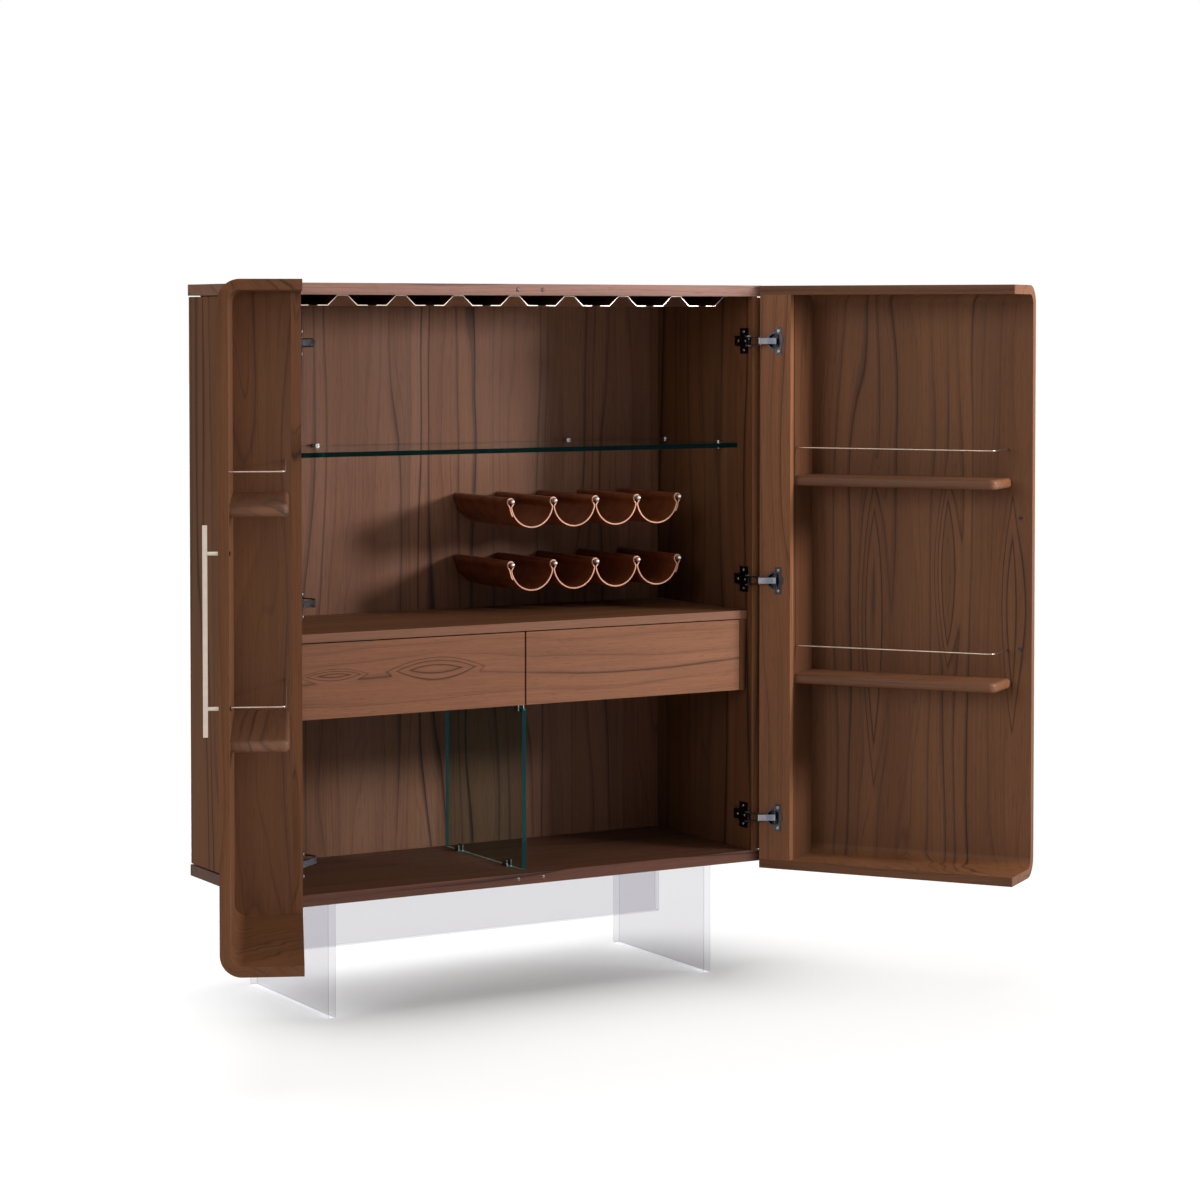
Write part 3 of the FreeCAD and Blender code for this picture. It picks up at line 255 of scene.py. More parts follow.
class WalnutFigure(Effect):
    """The figure of walnut, with its fibres along the vector's z."""

    SWAY, SWAY_REACH = Streak(6.0, 0.25, 3.0), (0.018, 0.018, 0.0)
    DRIFT = Streak(3.2, 0.11, 2.0, 0.42)
    EDDY = Streak(12.0, 0.1, 1.0)
    FADE = Streak(9.0, 0.11, 1.0)
    CLOUD = Streak(11.0, 0.07, 3.0)
    WARMTH = Streak(6.0, 0.11)
    FIBRE = Streak(330.0, 0.014, 3.0, 0.6)
    PORE = Streak(850.0, 0.03, 1.0)
    DEPTH_SHARE = 0.83
    FINER_ROWS, FINER_DRIFT, FINER_WIDTH, FINER_DARK = 2.7, 3.0, 1.6, 0.4
    HAZE_WIDTH, HAZE_AFTER = 5.0, 0.25
    TONE_SHARE, CLOUD_SHARE, PORE_DEPTH = 0.45, 0.55, 0.7

    def __init__(self) -> None:
        """Build the group: dark mineral lines, the haze beside them, tones, fibres, pores and height."""
        super().__init__("walnut_figure", {"Rows": 22.0, "Wander": 4.0, "Eyes": 2.4, "Knots": 0.0,
                                           "Near": 0.0, "Width": 0.06},
                         ("Line", "Haze", "Broad", "Warm", "Fibre", "Pore", "Height"))
        graph, place, width = self.graph, self.read("Vector"), self.read("Width")
        swayed = graph.vector("SUBTRACT", self.SWAY.read(graph, place, "Color"), (0.5, 0.5, 0.5))
        bent = graph.vector("ADD", place, graph.vector("MULTIPLY", swayed, self.SWAY_REACH))
        drift = graph.minus(self.DRIFT.read(graph, bent), 0.5)
        rings = self.rings(bent, drift)
        finer = graph.plus(graph.times(rings, self.FINER_ROWS), graph.times(drift, self.FINER_DRIFT))
        strength = graph.ramp(graph.chance(rings), 0.1, 0.9, 0.2, 1.0)
        fade = graph.ramp(self.FADE.read(graph, bent), 0.34, 0.56, 0.3, 1.0)
        chosen = graph.most(graph.times(strength, fade), self.read("Near"))
        apart = self.off_line(rings)
        core = graph.ramp(apart, 0.0, width, 1.0, 0.0)
        finer_core = graph.ramp(self.off_line(finer), 0.0, graph.times(width, self.FINER_WIDTH),
                                self.FINER_DARK, 0.0)
        finer_line = graph.times(finer_core, graph.ramp(graph.chance(finer), 0.2, 1.0))
        reach = graph.ramp(apart, 0.0, graph.times(width, self.HAZE_WIDTH), 1.0, 0.0)
        before = graph.calc("LESS_THAN", graph.calc("FRACT", rings), 0.5)
        beside = graph.ramp(before, 0.0, 1.0, self.HAZE_AFTER, 1.0)
        tone = graph.times(graph.chance(graph.plus(rings, 0.5)), self.TONE_SHARE)
        cloud = graph.ramp(self.CLOUD.read(graph, bent), 0.3, 0.7, 0.0, self.CLOUD_SHARE)
        fibre = self.FIBRE.read(graph, bent)
        pore = graph.ramp(self.PORE.read(graph, bent), 0.6, 0.72)
        graph.fill(self.outer, {
            "Line": graph.most(graph.times(core, chosen), finer_line),
            "Haze": graph.times(graph.times(reach, chosen), beside),
            "Broad": graph.plus(tone, cloud),
            "Warm": graph.ramp(self.WARMTH.read(graph, bent), 0.38, 0.62),
            "Fibre": fibre, "Pore": pore,
            "Height": graph.minus(fibre, graph.times(pore, self.PORE_DEPTH))})

    def rings(self, bent: NodeSocket, drift: NodeSocket) -> NodeSocket:
        """Number the growth rings across the board.

        Args:
            bent: The swaying coordinates.
            drift: How the rings drift along the board, about 0.

        Returns:
            The ring's number, with the share of the ring that is passed.
        """
        graph, flat = self.graph, self.graph.parts(bent)
        across = graph.plus(flat["X"], graph.times(flat["Y"], self.DEPTH_SHARE))
        eddy = graph.minus(self.EDDY.read(graph, bent), 0.5)
        even = graph.plus(graph.times(across, self.read("Rows")), graph.times(drift, self.read("Wander")))
        lively = graph.plus(even, graph.times(eddy, self.read("Eyes")))
        return graph.plus(lively, self.read("Knots"))

    def off_line(self, rings: NodeSocket) -> NodeSocket:
        """Give how far a ring number is from the line in the middle of its ring."""
        return self.graph.calc("ABSOLUTE", self.graph.minus(self.graph.calc("FRACT", rings), 0.5))


class HandlingMarks(Effect):
    """The faint unevenness of a handled, hard surface: a mottle for roughness and a finer height."""

    FINER = 12.0

    def __init__(self) -> None:
        """Build the group."""
        super().__init__("handling_marks", {"Scale": 40.0}, ("Mottle", "Height"))
        graph, place, scale = self.graph, self.read("Vector"), self.read("Scale")
        graph.fill(self.outer, {"Mottle": graph.noise(place, scale, 3.0, 0.6),
                                "Height": graph.noise(place, graph.times(scale, self.FINER))})


class EffectBook:
    """The shared effects of this object, each built once."""

    def __init__(self) -> None:
        """Build the effects."""
        self.figure = WalnutFigure()
        self.marks = HandlingMarks()


def new_material(name: str) -> tuple[Material, Graph, Node]:
    """Make a material with an empty surface shader.

    Args:
        name: The material's name.

    Returns:
        The material, its nodes and its surface shader.
    """
    material = bpy.data.materials.new(name)
    material.use_nodes = True
    shader = next(node for node in material.node_tree.nodes if node.type == "BSDF_PRINCIPLED")
    return material, Graph(material.node_tree), shader


@dataclass(frozen=True)
class Finish:
    """A named material, whose surface each kind of finish fills in."""

    name: str

    def build(self, effects: EffectBook) -> Material:
        """Make the material.

        Args:
            effects: The shared effects.

        Returns:
            The finished material.
        """
        material, graph, shader = new_material(self.name)
        graph.fill(shader, self.surface(graph, effects))
        return material

    def surface(self, graph: Graph, effects: EffectBook) -> Inputs:
        """Give what the inputs of the surface shader are fed with."""
        raise NotImplementedError


@dataclass(frozen=True)
class Knot:
    """A pointed eye in the figure, which the lines close round."""

    centre: Vector
    half_width: float
    half_length: float
    rings: float = 2.5


@dataclass(frozen=True)
class WalnutFinish(Finish):
    """Satin walnut veneer on a board."""

    grain: Grain
    turn: float = 0.0
    offset: Triple = (0.0, 0.0, 0.0)
    light: Colour = (0.158, 0.066, 0.029)
    middle: Colour = (0.102, 0.041, 0.018)
    warm: Colour = (0.13, 0.047, 0.018)
    vein: Colour = (0.011, 0.0065, 0.006)
    knots: tuple[Knot, ...] = ()
    rows: float = 28.0
    wander: float = 5.0
    eyes: float = 3.0
    pace: float = 1.0
    line_width: float = 0.06
    roughness: float = 0.5
    gloss: float = 0.11
    caps: Optional[tuple[float, float]] = None
    # A paler colour for the faces that look to the front: a painted highlight.
    painted_front_highlight: Optional[Colour] = None
    warm_share: float = 0.4
    haze_share: float = 0.72
    line_share: float = 0.88
    pore_share: float = 0.3
    front_highlight_share: float = 0.72
    parting: float = 0.9
    relief: float = 0.2
    relief_depth: float = 0.3 * MM

    def fibres(self, graph: Graph) -> NodeSocket:
        """Turn the board's coordinates so that its fibres run along z.

        Args:
            graph: The material's nodes.

        Returns:
            The turned coordinates, lying across in the cap boards of a door.
        """
        place = graph.turned(graph.place(), (0.0, 0.0, -math.radians(self.turn)), self.offset)
        pace = (1.0, 1.0, self.pace)
        if self.grain is Grain.UPRIGHT and self.caps is None:
            return graph.vector("MULTIPLY", place, pace)
        lay = (math.pi / 2, 0.0, 0.0) if self.grain is Grain.DEEP else (0.0, -math.pi / 2, 0.0)
        lying = graph.turned(place, lay)
        if self.caps is None:
            return graph.vector("MULTIPLY", lying, pace)
        level = graph.parts(graph.place())["Z"]
        capped = graph.plus(graph.calc("LESS_THAN", level, self.caps[0]),
                            graph.calc("GREATER_THAN", level, self.caps[1]))
        return graph.choose(capped, place, lying)

    def in_fibres(self, point: Vector) -> Vector:
        """Give a point of the object in the turned coordinates of an even board.

        Args:
            point: The point.

        Returns:
            The point with the board's fibres along z.
        """
        place = Matrix.Rotation(-math.radians(self.turn), 3, "Z") @ point + Vector(self.offset)
        if self.grain is Grain.ACROSS:
            place = Matrix.Rotation(-math.pi / 2, 3, "Y") @ place
        return Vector((place.x, place.y, place.z * self.pace))

    def eyes_in(self, graph: Graph, place: NodeSocket) -> Inputs:
        """Part the growth rings round each knot.

        Args:
            graph: The material's nodes.
            place: The turned coordinates.

        Returns:
            How far the knots shift the rings, and where the knots are, by the figure's input names.
        """
        if not self.knots:
            return {}
        flat = graph.parts(place)
        shift: Feed = 0.0
        near: Feed = 0.0
        for knot in self.knots:
            centre = self.in_fibres(knot.centre)
            aside = graph.minus(flat["X"], centre.x)
            across = graph.calc("ABSOLUTE", graph.calc("DIVIDE", aside, knot.half_width))
            along = graph.calc("DIVIDE", graph.minus(flat["Z"], centre.z), knot.half_length * self.pace)
            inside = graph.ramp(graph.plus(across, graph.times(along, along)), 0.0, 1.0, 1.0, 0.0)
            parted = graph.minus(knot.rings, graph.times(aside, self.parting * self.rows))
            shift = graph.plus(graph.times(inside, parted), shift)
            near = graph.most(graph.ramp(inside, 0.0, 0.3, 0.0, 0.95), near)
        return {"Knots": shift, "Near": near}

    def with_front_highlight(self, graph: Graph, colour: NodeSocket) -> NodeSocket:
        """Paint a paler highlight on the faces that look to the front.

        Args:
            graph: The material's nodes.
            colour: The board's colour.

        Returns:
            The colour with the painted highlight.
        """
        if self.painted_front_highlight is None:
            return colour
        ahead = graph.parts(graph.normal())["Y"]
        return graph.blend(graph.ramp(ahead, -0.95, -0.7, self.front_highlight_share, 0.0), colour, self.painted_front_highlight)

    def surface(self, graph: Graph, effects: EffectBook) -> Inputs:
        """Lay the tones, the lines and the pores over each other.

        Args:
            graph: The material's nodes.
            effects: The shared effects.

        Returns:
            A socket or a value for each input of the shader.
        """
        place = self.fibres(graph)
        figure = effects.figure.use(graph, {
            "Vector": place, "Rows": self.rows, "Wander": self.wander, "Eyes": self.eyes,
            "Width": self.line_width, **self.eyes_in(graph, place)})
        plain = graph.blend(figure["Broad"], self.middle, self.light)
        tone = graph.blend(graph.times(figure["Warm"], self.warm_share), plain, self.warm)
        hazy = graph.blend(graph.times(figure["Haze"], self.haze_share), self.with_front_highlight(graph, tone), self.vein)
        lined = graph.blend(graph.times(figure["Line"], self.line_share), hazy, self.vein)
        streak = graph.ramp(figure["Fibre"], 0.25, 0.75, 0.88, 1.1)
        grey = graph.add("ShaderNodeCombineColor", {"Red": streak, "Green": streak, "Blue": streak})
        streaked = graph.blend(1.0, lined, grey.outputs["Color"], "MULTIPLY")
        bright, dull = self.roughness - 0.05, self.roughness + 0.09
        return {"Base Color": graph.blend(graph.times(figure["Pore"], self.pore_share), streaked, self.vein),
                "Roughness": graph.ramp(figure["Fibre"], 0.2, 0.8, bright, dull),
                "Normal": graph.bump(figure["Height"], self.relief, self.relief_depth),
                "Specular IOR Level": self.gloss}


@dataclass(frozen=True)
class HardFinish(Finish):
    """Plated metal, moulded plastic or soft clear rubber, with faint marks of handling."""

    colour: Colour
    shade: Colour
    roughness: float
    transmission: float = 0.0
    metallic: float = 0.0
    spread: float = 0.06
    mark_scale: float = 120.0
    relief: float = 0.1
    relief_depth: float = 0.2 * MM

    def surface(self, graph: Graph, effects: EffectBook) -> Inputs:
        """Shade the surface by its marks, more sharply where it is metal.

        Args:
            graph: The material's nodes.
            effects: The shared effects.

        Returns:
            A socket or a value for each input of the shader.
        """
        marks = effects.marks.use(graph, {"Vector": graph.place(), "Scale": self.mark_scale})
        mottle = marks["Mottle"]
        share = graph.ramp(mottle, 0.3, 0.7) if self.metallic else mottle
        return {"Base Color": graph.blend(share, self.shade, self.colour),
                "Roughness": graph.ramp(mottle, 0.3, 0.7, self.roughness + self.spread, self.roughness),
                "Normal": graph.bump(marks["Height"], self.relief, self.relief_depth),
                "Metallic": self.metallic, "Transmission Weight": self.transmission}


@dataclass(frozen=True)
class ClearFinish(Finish):
    """A clear slab, with polished edges whose colour may differ from that of its broad faces, and which may
    glow with painted light.
    """

    facing: Facing
    face: Colour
    ior: float
    edge: Optional[Colour] = None
    # An emission on the edges that stands in for light caught in the glass: painted light.
    painted_edge_glow: Optional[Colour] = None
    shadow: float = 0.2
    mark_scale: float = 9.0
    smear: float = 0.035

    def by_face(self, graph: Graph, edge: Colour, face: Colour) -> NodeSocket:
        """Give one colour to the edges of the slab and another to its broad faces."""
        along = graph.parts(graph.normal())[self.facing.value]
        return graph.blend(graph.ramp(graph.calc("ABSOLUTE", along), 0.3, 0.8), edge, face)

    def surface(self, graph: Graph, effects: EffectBook) -> Inputs:
        """Colour the slab, and let most of the light through it.

        Args:
            graph: The material's nodes.
            effects: The shared effects.

        Returns:
            A socket or a value for each input of the shader.
        """
        marks = effects.marks.use(graph, {"Vector": graph.place(), "Scale": self.mark_scale})
        shaded = graph.add("ShaderNodeLightPath").outputs["Is Shadow Ray"]
        inputs: Inputs = {"Base Color": self.face, "IOR": self.ior, "Transmission Weight": 1.0,
                          "Roughness": graph.ramp(marks["Mottle"], 0.3, 0.7, self.smear, 0.0),
                          "Alpha": graph.minus(1.0, graph.times(shaded, 1.0 - self.shadow))}
        if self.edge is not None:
            inputs["Base Color"] = self.by_face(graph, self.edge, self.face)
        if self.painted_edge_glow is not None:
            inputs["Emission Color"] = self.by_face(graph, self.painted_edge_glow, BLACK)
            inputs["Emission Strength"] = 1.0
        return inputs


@dataclass(frozen=True)
class LeatherFinish(Finish):
    """Saddle leather: its skin side, or the raw fibre of a cut edge."""

    colour: Colour
    shade: Colour
    roughness: float
    cell: float
    relief: float
    mark_scale: float = 28.0
    pull_scale: float = 90.0
    pull_run: Triple = (1.0, 0.12, 1.0)
    relief_depth: float = 0.4 * MM

    def surface(self, graph: Graph, effects: EffectBook) -> Inputs:
        """Shade the leather by its mottle and its pull, over the cells of its skin.

        Args:
            graph: The material's nodes.
            effects: The shared effects.

        Returns:
            A socket or a value for each input of the shader.
        """
        place = graph.place()
        mottle = effects.marks.use(graph, {"Vector": place, "Scale": self.mark_scale})["Mottle"]
        cells = graph.add("ShaderNodeTexVoronoi", {"Vector": place, "Scale": 1.0 / self.cell}, feature="F1")
        pull = graph.noise(graph.vector("MULTIPLY", place, self.pull_run), self.pull_scale)
        tone = graph.blend(graph.ramp(mottle, 0.25, 0.75), self.shade, self.colour)
        height = graph.plus(graph.times(cells.outputs["Distance"], 0.8), graph.times(pull, 0.5))
        return {"Base Color": graph.blend(graph.ramp(pull, 0.55, 0.75, 0.0, 0.35), tone, self.colour),
                "Roughness": graph.ramp(mottle, 0.3, 0.7, self.roughness + 0.08, self.roughness - 0.05),
                "Normal": graph.bump(height, self.relief, self.relief_depth)}


def stand(name: str, data: ID) -> Object:
    """Put an object at the origin of the scene.

    Args:
        name: The object's name.
        data: Its mesh, lamp or camera.

    Returns:
        The new object.
    """
    made = bpy.data.objects.new(name, data)
    bpy.context.scene.collection.objects.link(made)
    return made


def finish_mesh(name: str, mesh: BMesh, materials: Sequence[Material], smooth: bool = False) -> Object:
    """Turn a bmesh into an object.

    Args:
        name: The piece's name.
        mesh: The shape, in place.
        materials: Its materials, in the order of its faces' numbers.
        smooth: Whether its faces are shaded smooth.

    Returns:
        The new object.
    """
    data = bpy.data.meshes.new(name)
    mesh.to_mesh(data)
    mesh.free()
    for material in materials:
        data.materials.append(material)
    if smooth:
        data.polygons.foreach_set("use_smooth", [True] * len(data.polygons))
    return stand(name, data)


def ease_edges(mesh: BMesh, edges: Iterable[BMEdge], offset: float, segments: int) -> None:
    """Round edges of a mesh off."""
    bmesh.ops.bevel(mesh, geom=list(edges), offset=offset, offset_type="OFFSET", segments=segments,
                    profile=0.5, affect="EDGES", material=-1)


@dataclass(frozen=True)
class DoorPlace:
    """Where a door stands: its axis, its opening and its own directions."""

    side: int
    axis: Vector
    angle: float
    hinge_edge: float = 583.0 * MM
    back_plane: float = -234.0 * MM

    @classmethod
    def read(cls, side: int) -> "DoorPlace":
        """Take a door's axis and opening from its joint."""
        swing = next(item for item in frame["joints"] if item["name"] == f"{SIDE_NAMES[side]}_door_swing")
        return cls(side, Vector(swing["pos_m"]), -swing["range_deg"][0])

    @property
    def turn(self) -> float:
        """The door's turn from the shut position's frame, in degrees."""
        return 180.0 + self.side * self.angle

    def spot(self, across: float, deep: float, level: float) -> Vector:
        """Give a point of the door.

        Args:
            across: Its distance from the hinge edge.
            deep: Its depth from the door's back plane towards the face.
            level: Its height over the floor.

        Returns:
            The point in the frame of the whole object.
        """
        from_edge = self.hinge_edge - abs(self.axis.x)
        from_back = self.back_plane - self.axis.y
        flat = Vector((self.side * (across - from_edge), deep - from_back, 0.0))
        place = Matrix.Rotation(math.radians(self.turn), 3, "Z") @ flat
        return Vector((self.axis.x + place.x, self.axis.y + place.y, level))

    def outward(self) -> Vector:
        """Give the direction that the stile's bare face looks in."""
        return Matrix.Rotation(math.radians(self.turn), 3, "Z") @ Vector((0.0, -1.0, 0.0))


@dataclass
class WineSling:
    """One row of saddle leather, looped over its rods and hanging in round sags between them."""

    row: str
    bays: int = 4
    gauge: float = 3.5 * MM
    shaved: float = 0.2 * MM
    solid_bore: float = 4.8 * MM
    bore: float = 6.0 * MM
    rod: float = 4.5 * MM
    rod_play: float = 0.25 * MM
    neck: float = 13.0 * MM
    sag: float = 44.0 * MM
    tail: float = 21.0 * MM
    tuck: float = 1.9 * MM
    sink: float = 1.2 * MM
    edge_round: float = 0.7 * MM
    edge_angle: float = 60.0
    loop_facets: int = 22
    sag_facets: int = 40
    tail_facets: int = 6
    cuts_back: int = 10
    band: BMesh = field(default_factory=bmesh.new, init=False)
    tip: list = field(init=False)

    def __post_init__(self) -> None:
        """Take the row's place from its solid, and work out the round of a loop and of a sag."""
        low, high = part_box(f"{self.row}_wine_sling")
        self.front, self.rear = low.y, high.y
        outside = self.solid_bore + self.gauge
        self.level = high.z - outside
        self.first = low.x + outside
        self.pitch = (high.x - low.x - 2 * outside) / self.bays
        self.loop = self.bore + self.gauge / 2
        self.drop = self.bore - self.rod - self.rod_play
        self.half = self.pitch / 2 - self.tuck
        self.radius = (self.half ** 2 + self.sag ** 2) / (2 * self.sag)
        self.hub = self.level - self.neck + self.radius - self.sag
        self.run = 0.0

    def start(self, across: float, level: float) -> None:
        """Begin the band with its end edge."""
        ends = [self.band.verts.new((across, deep, level)) for deep in (self.front, self.rear)]
        self.tip = [*ends, self.band.edges.new(ends)]

    def tips(self, kind: type) -> list:
        """Give the points or the edge at the band's end."""
        return [item for item in self.tip if isinstance(item, kind)]

    def way(self, across: float, level: float) -> Vector:
        """Give the way from the band's end to a place along the row."""
        here = self.tips(BMVert)[0].co
        return Vector((across, 0.0, level)) - Vector((here.x, 0.0, here.z))

    def straight(self, across: float, level: float) -> None:
        """Carry the band straight on to a place.

        Args:
            across: Where it ends, along the row.
            level: The height at which it ends.
        """
        step = self.way(across, level)
        self.run += step.length
        drawn = bmesh.ops.extrude_edge_only(self.band, edges=self.tips(BMEdge))["geom"]
        self.tip = [item for item in drawn if not isinstance(item, BMFace)]
        bmesh.ops.translate(self.band, vec=step, verts=self.tips(BMVert))

    def bend(self, across: float, level: float, angle: float, facets: int) -> None:
        """Carry the band round a centre.

        Args:
            across: The centre, along the row.
            level: The centre's height.
            angle: The turn about the y axis, in radians.
            facets: How many facets it has.
        """
        self.run += abs(angle) * self.way(across, level).length
        turned = bmesh.ops.spin(self.band, geom=self.tip, cent=(across, 0.0, level), axis=(0.0, 1.0, 0.0),
                                dvec=(0.0, 0.0, 0.0), angle=angle, steps=facets, use_duplicate=False)
        self.tip = [item for item in turned["geom_last"] if not isinstance(item, BMFace)]

    def over_rod(self, rod: float) -> None:
        """Take the band from the left of a neck, round its rod and down to the right of the neck.

        Args:
            rod: The rod's place along the row.
        """
        below = self.neck - self.drop
        lean = math.asin(self.loop / math.hypot(self.tuck, below)) - math.atan2(self.tuck, below)
        side = Vector((-math.cos(lean), -math.sin(lean))) * self.loop
        self.straight(rod + side.x, self.level - self.drop + side.y)
        self.bend(rod, self.level - self.drop, math.pi + 2 * lean, self.loop_facets)
        self.straight(rod + self.tuck, self.level - self.neck)

    def begin(self, rod: float) -> None:
        """Start the band with the tail that lies against the outside of the first sag.

        Args:
            rod: The first rod's place along the row.
        """
        hub = rod + self.pitch / 2
        end = Vector((rod - self.tuck - hub, self.level - self.neck - self.hub))
        lap = self.tail / end.length
        end.rotate(Matrix.Rotation(lap, 2))
        self.start(hub + end.x, self.hub + end.y)
        self.bend(hub, self.hub, lap, self.tail_facets)

    def hang(self, rod: float) -> None:
        """Let the band sag from the neck of one rod to that of the next."""
        reach = math.asin(self.half / self.radius)
        self.bend(rod + self.pitch / 2, self.hub, -2 * reach, self.sag_facets)

    def build(self, skin: Material, raw: Material) -> Object:
        """Make the row.

        Args:
            skin: The leather's face.
            raw: Its cut edges.

        Returns:
            The finished piece.
        """
        rods = [self.first + index * self.pitch for index in range(self.bays + 1)]
        self.begin(rods[0])
        for index, rod in enumerate(rods):
            self.over_rod(rod)
            if index < self.bays:
                self.hang(rod)
        lap = self.tail / (self.radius + 2 * self.tuck)
        self.bend(rods[-1] - self.pitch / 2, self.hub, lap, self.tail_facets)
        crossing = [edge for edge in self.band.edges if self.runs_back(edge)]
        bmesh.ops.subdivide_edges(self.band, edges=crossing, cuts=self.cuts_back, use_grid_fill=True)
        self.relax()
        bmesh.ops.recalc_face_normals(self.band, faces=self.band.faces)
        piece = finish_mesh(f"{self.row}_leather_sling", self.band, [skin, raw], smooth=True)
        wall = piece.modifiers.new("leather_gauge", "SOLIDIFY")
        wall.thickness = self.gauge - self.shaved
        wall.offset = 0.0
        wall.material_offset_rim = 1
        round_off = piece.modifiers.new("burnished_edges", "BEVEL")
        round_off.width = self.edge_round
        round_off.segments = 2
        round_off.limit_method = "ANGLE"
        round_off.angle_limit = math.radians(self.edge_angle)
        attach(piece, "carcass")
        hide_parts(f"{self.row}_wine_sling")
        return piece

    def runs_back(self, edge: BMEdge) -> bool:
        """Tell whether an edge runs from the front of the row to its back."""
        ends = edge.verts
        return abs(ends[0].co.y - ends[1].co.y) > (self.rear - self.front) / 2

    def relax(self) -> None:
        """Let the sags sink a little towards the middle of the leather's depth."""
        centre = (self.front + self.rear) / 2
        half = (self.rear - self.front) / 2
        for vert in self.band.verts:
            below = max(0.0, self.level - self.neck - vert.co.z) / self.sag
            slack = 1.0 - ((vert.co.y - centre) / half) ** 2
            vert.co.z -= self.sink * below * slack


@dataclass(frozen=True)
class ScrewHead:
    """A pan head with a cross recess."""

    radius: float = 3.6 * MM
    height: float = 1.5 * MM
    recess: float = 1.9 * MM
    depth: float = 1.0 * MM
    edge_round: float = 0.35 * MM
    facets: int = 24
    crown_share: float = 0.86
    inset_share: float = 0.35
    waist_share: float = 0.42
    floor_share: float = 0.7

    def add(self, mesh: BMesh, seat: Vector, axis: Vector) -> None:
        """Add one head to a mesh.

        Args:
            mesh: The mesh that collects the heads.
            seat: The point under the middle of the head.
            axis: The direction that the head looks in.
        """
        def rise(face: BMFace) -> float:
            """Give the height of a face over the seat."""
            return (face.calc_center_median() - seat).dot(axis)

        place = Matrix.Translation(seat) @ axis.to_track_quat("Z", "Y").to_matrix().to_4x4()
        made = bmesh.ops.create_cone(mesh, cap_ends=True, segments=self.facets, radius1=self.radius,
                                     radius2=self.radius * self.crown_share, depth=self.height,
                                     matrix=place @ Matrix.Translation((0.0, 0.0, self.height / 2)))
        top = max({face for vert in made["verts"] for face in vert.link_faces}, key=rise)
        ease_edges(mesh, top.edges, self.edge_round, 2)
        near = (face for face in mesh.faces if (face.calc_center_median() - seat).length < 2 * self.height)
        top = max((face for face in near if len(face.verts) == self.facets), key=rise)
        bmesh.ops.inset_region(mesh, faces=[top], thickness=self.radius * self.inset_share, depth=0.0)
        centre = top.calc_center_median()
        for index, vert in enumerate(top.verts):
            arm = index % (self.facets // 4) in (0, 1)
            spoke = (vert.co - centre).normalized()
            vert.co = centre + spoke * (self.recess if arm else self.recess * self.waist_share)
        sunk = bmesh.ops.extrude_discrete_faces(mesh, faces=[top])["faces"]
        bmesh.ops.translate(mesh, vec=axis * -self.depth, verts=list(sunk[0].verts))
        bmesh.ops.scale(mesh, vec=(self.floor_share,) * 3, verts=list(sunk[0].verts),
                        space=Matrix.Translation(-sunk[0].calc_center_median()))


@dataclass
class HingeFixings:
    """The screws of the concealed hinges, on the doors' flanges and the carcass plates."""

    levels: tuple[float, ...] = HINGE_LEVELS
    flange_across: float = 44.5 * MM
    flange_proud: float = 1.5 * MM
    flange_spread: float = 22.5 * MM
    plate_face: float = 557.0 * MM
    plate_deep: float = -200.0 * MM
    plate_spread: float = 20.0 * MM
    arm_face: float = 553.0 * MM
    arm_screws: tuple[float, ...] = (-212.0 * MM, -184.0 * MM)
    arm_head: ScrewHead = ScrewHead(radius=3.2 * MM, height=1.2 * MM)

    def build(self, plated: Material) -> list[Object]:
        """Make the screws.

        Args:
            plated: Their finish.

        Returns:
            One piece on each door and one on the carcass.
        """
        pieces = []
        fixed = bmesh.new()
        for side, word in SIDE_NAMES.items():
            place = DoorPlace.read(side)
            heads = bmesh.new()
            inward = Vector((-side, 0.0, 0.0))
            for level in self.levels:
                for shift in (-1, 1):
                    height = level + shift * self.flange_spread
                    seat = place.spot(self.flange_across, -self.flange_proud, height)
                    ScrewHead().add(heads, seat, place.outward())
                    ScrewHead().add(fixed, Vector((side * self.plate_face, self.plate_deep,
                                                   level + shift * self.plate_spread)), inward)
                for deep in self.arm_screws:
                    self.arm_head.add(fixed, Vector((side * self.arm_face, deep, level)), inward)
            piece = finish_mesh(f"{word}_flange_screws", heads, [plated])
            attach(piece, f"{word}_door")
            pieces.append(piece)
        plates = finish_mesh("hinge_plate_screws", fixed, [plated])
        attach(plates, "carcass")
        pieces.append(plates)
        return pieces


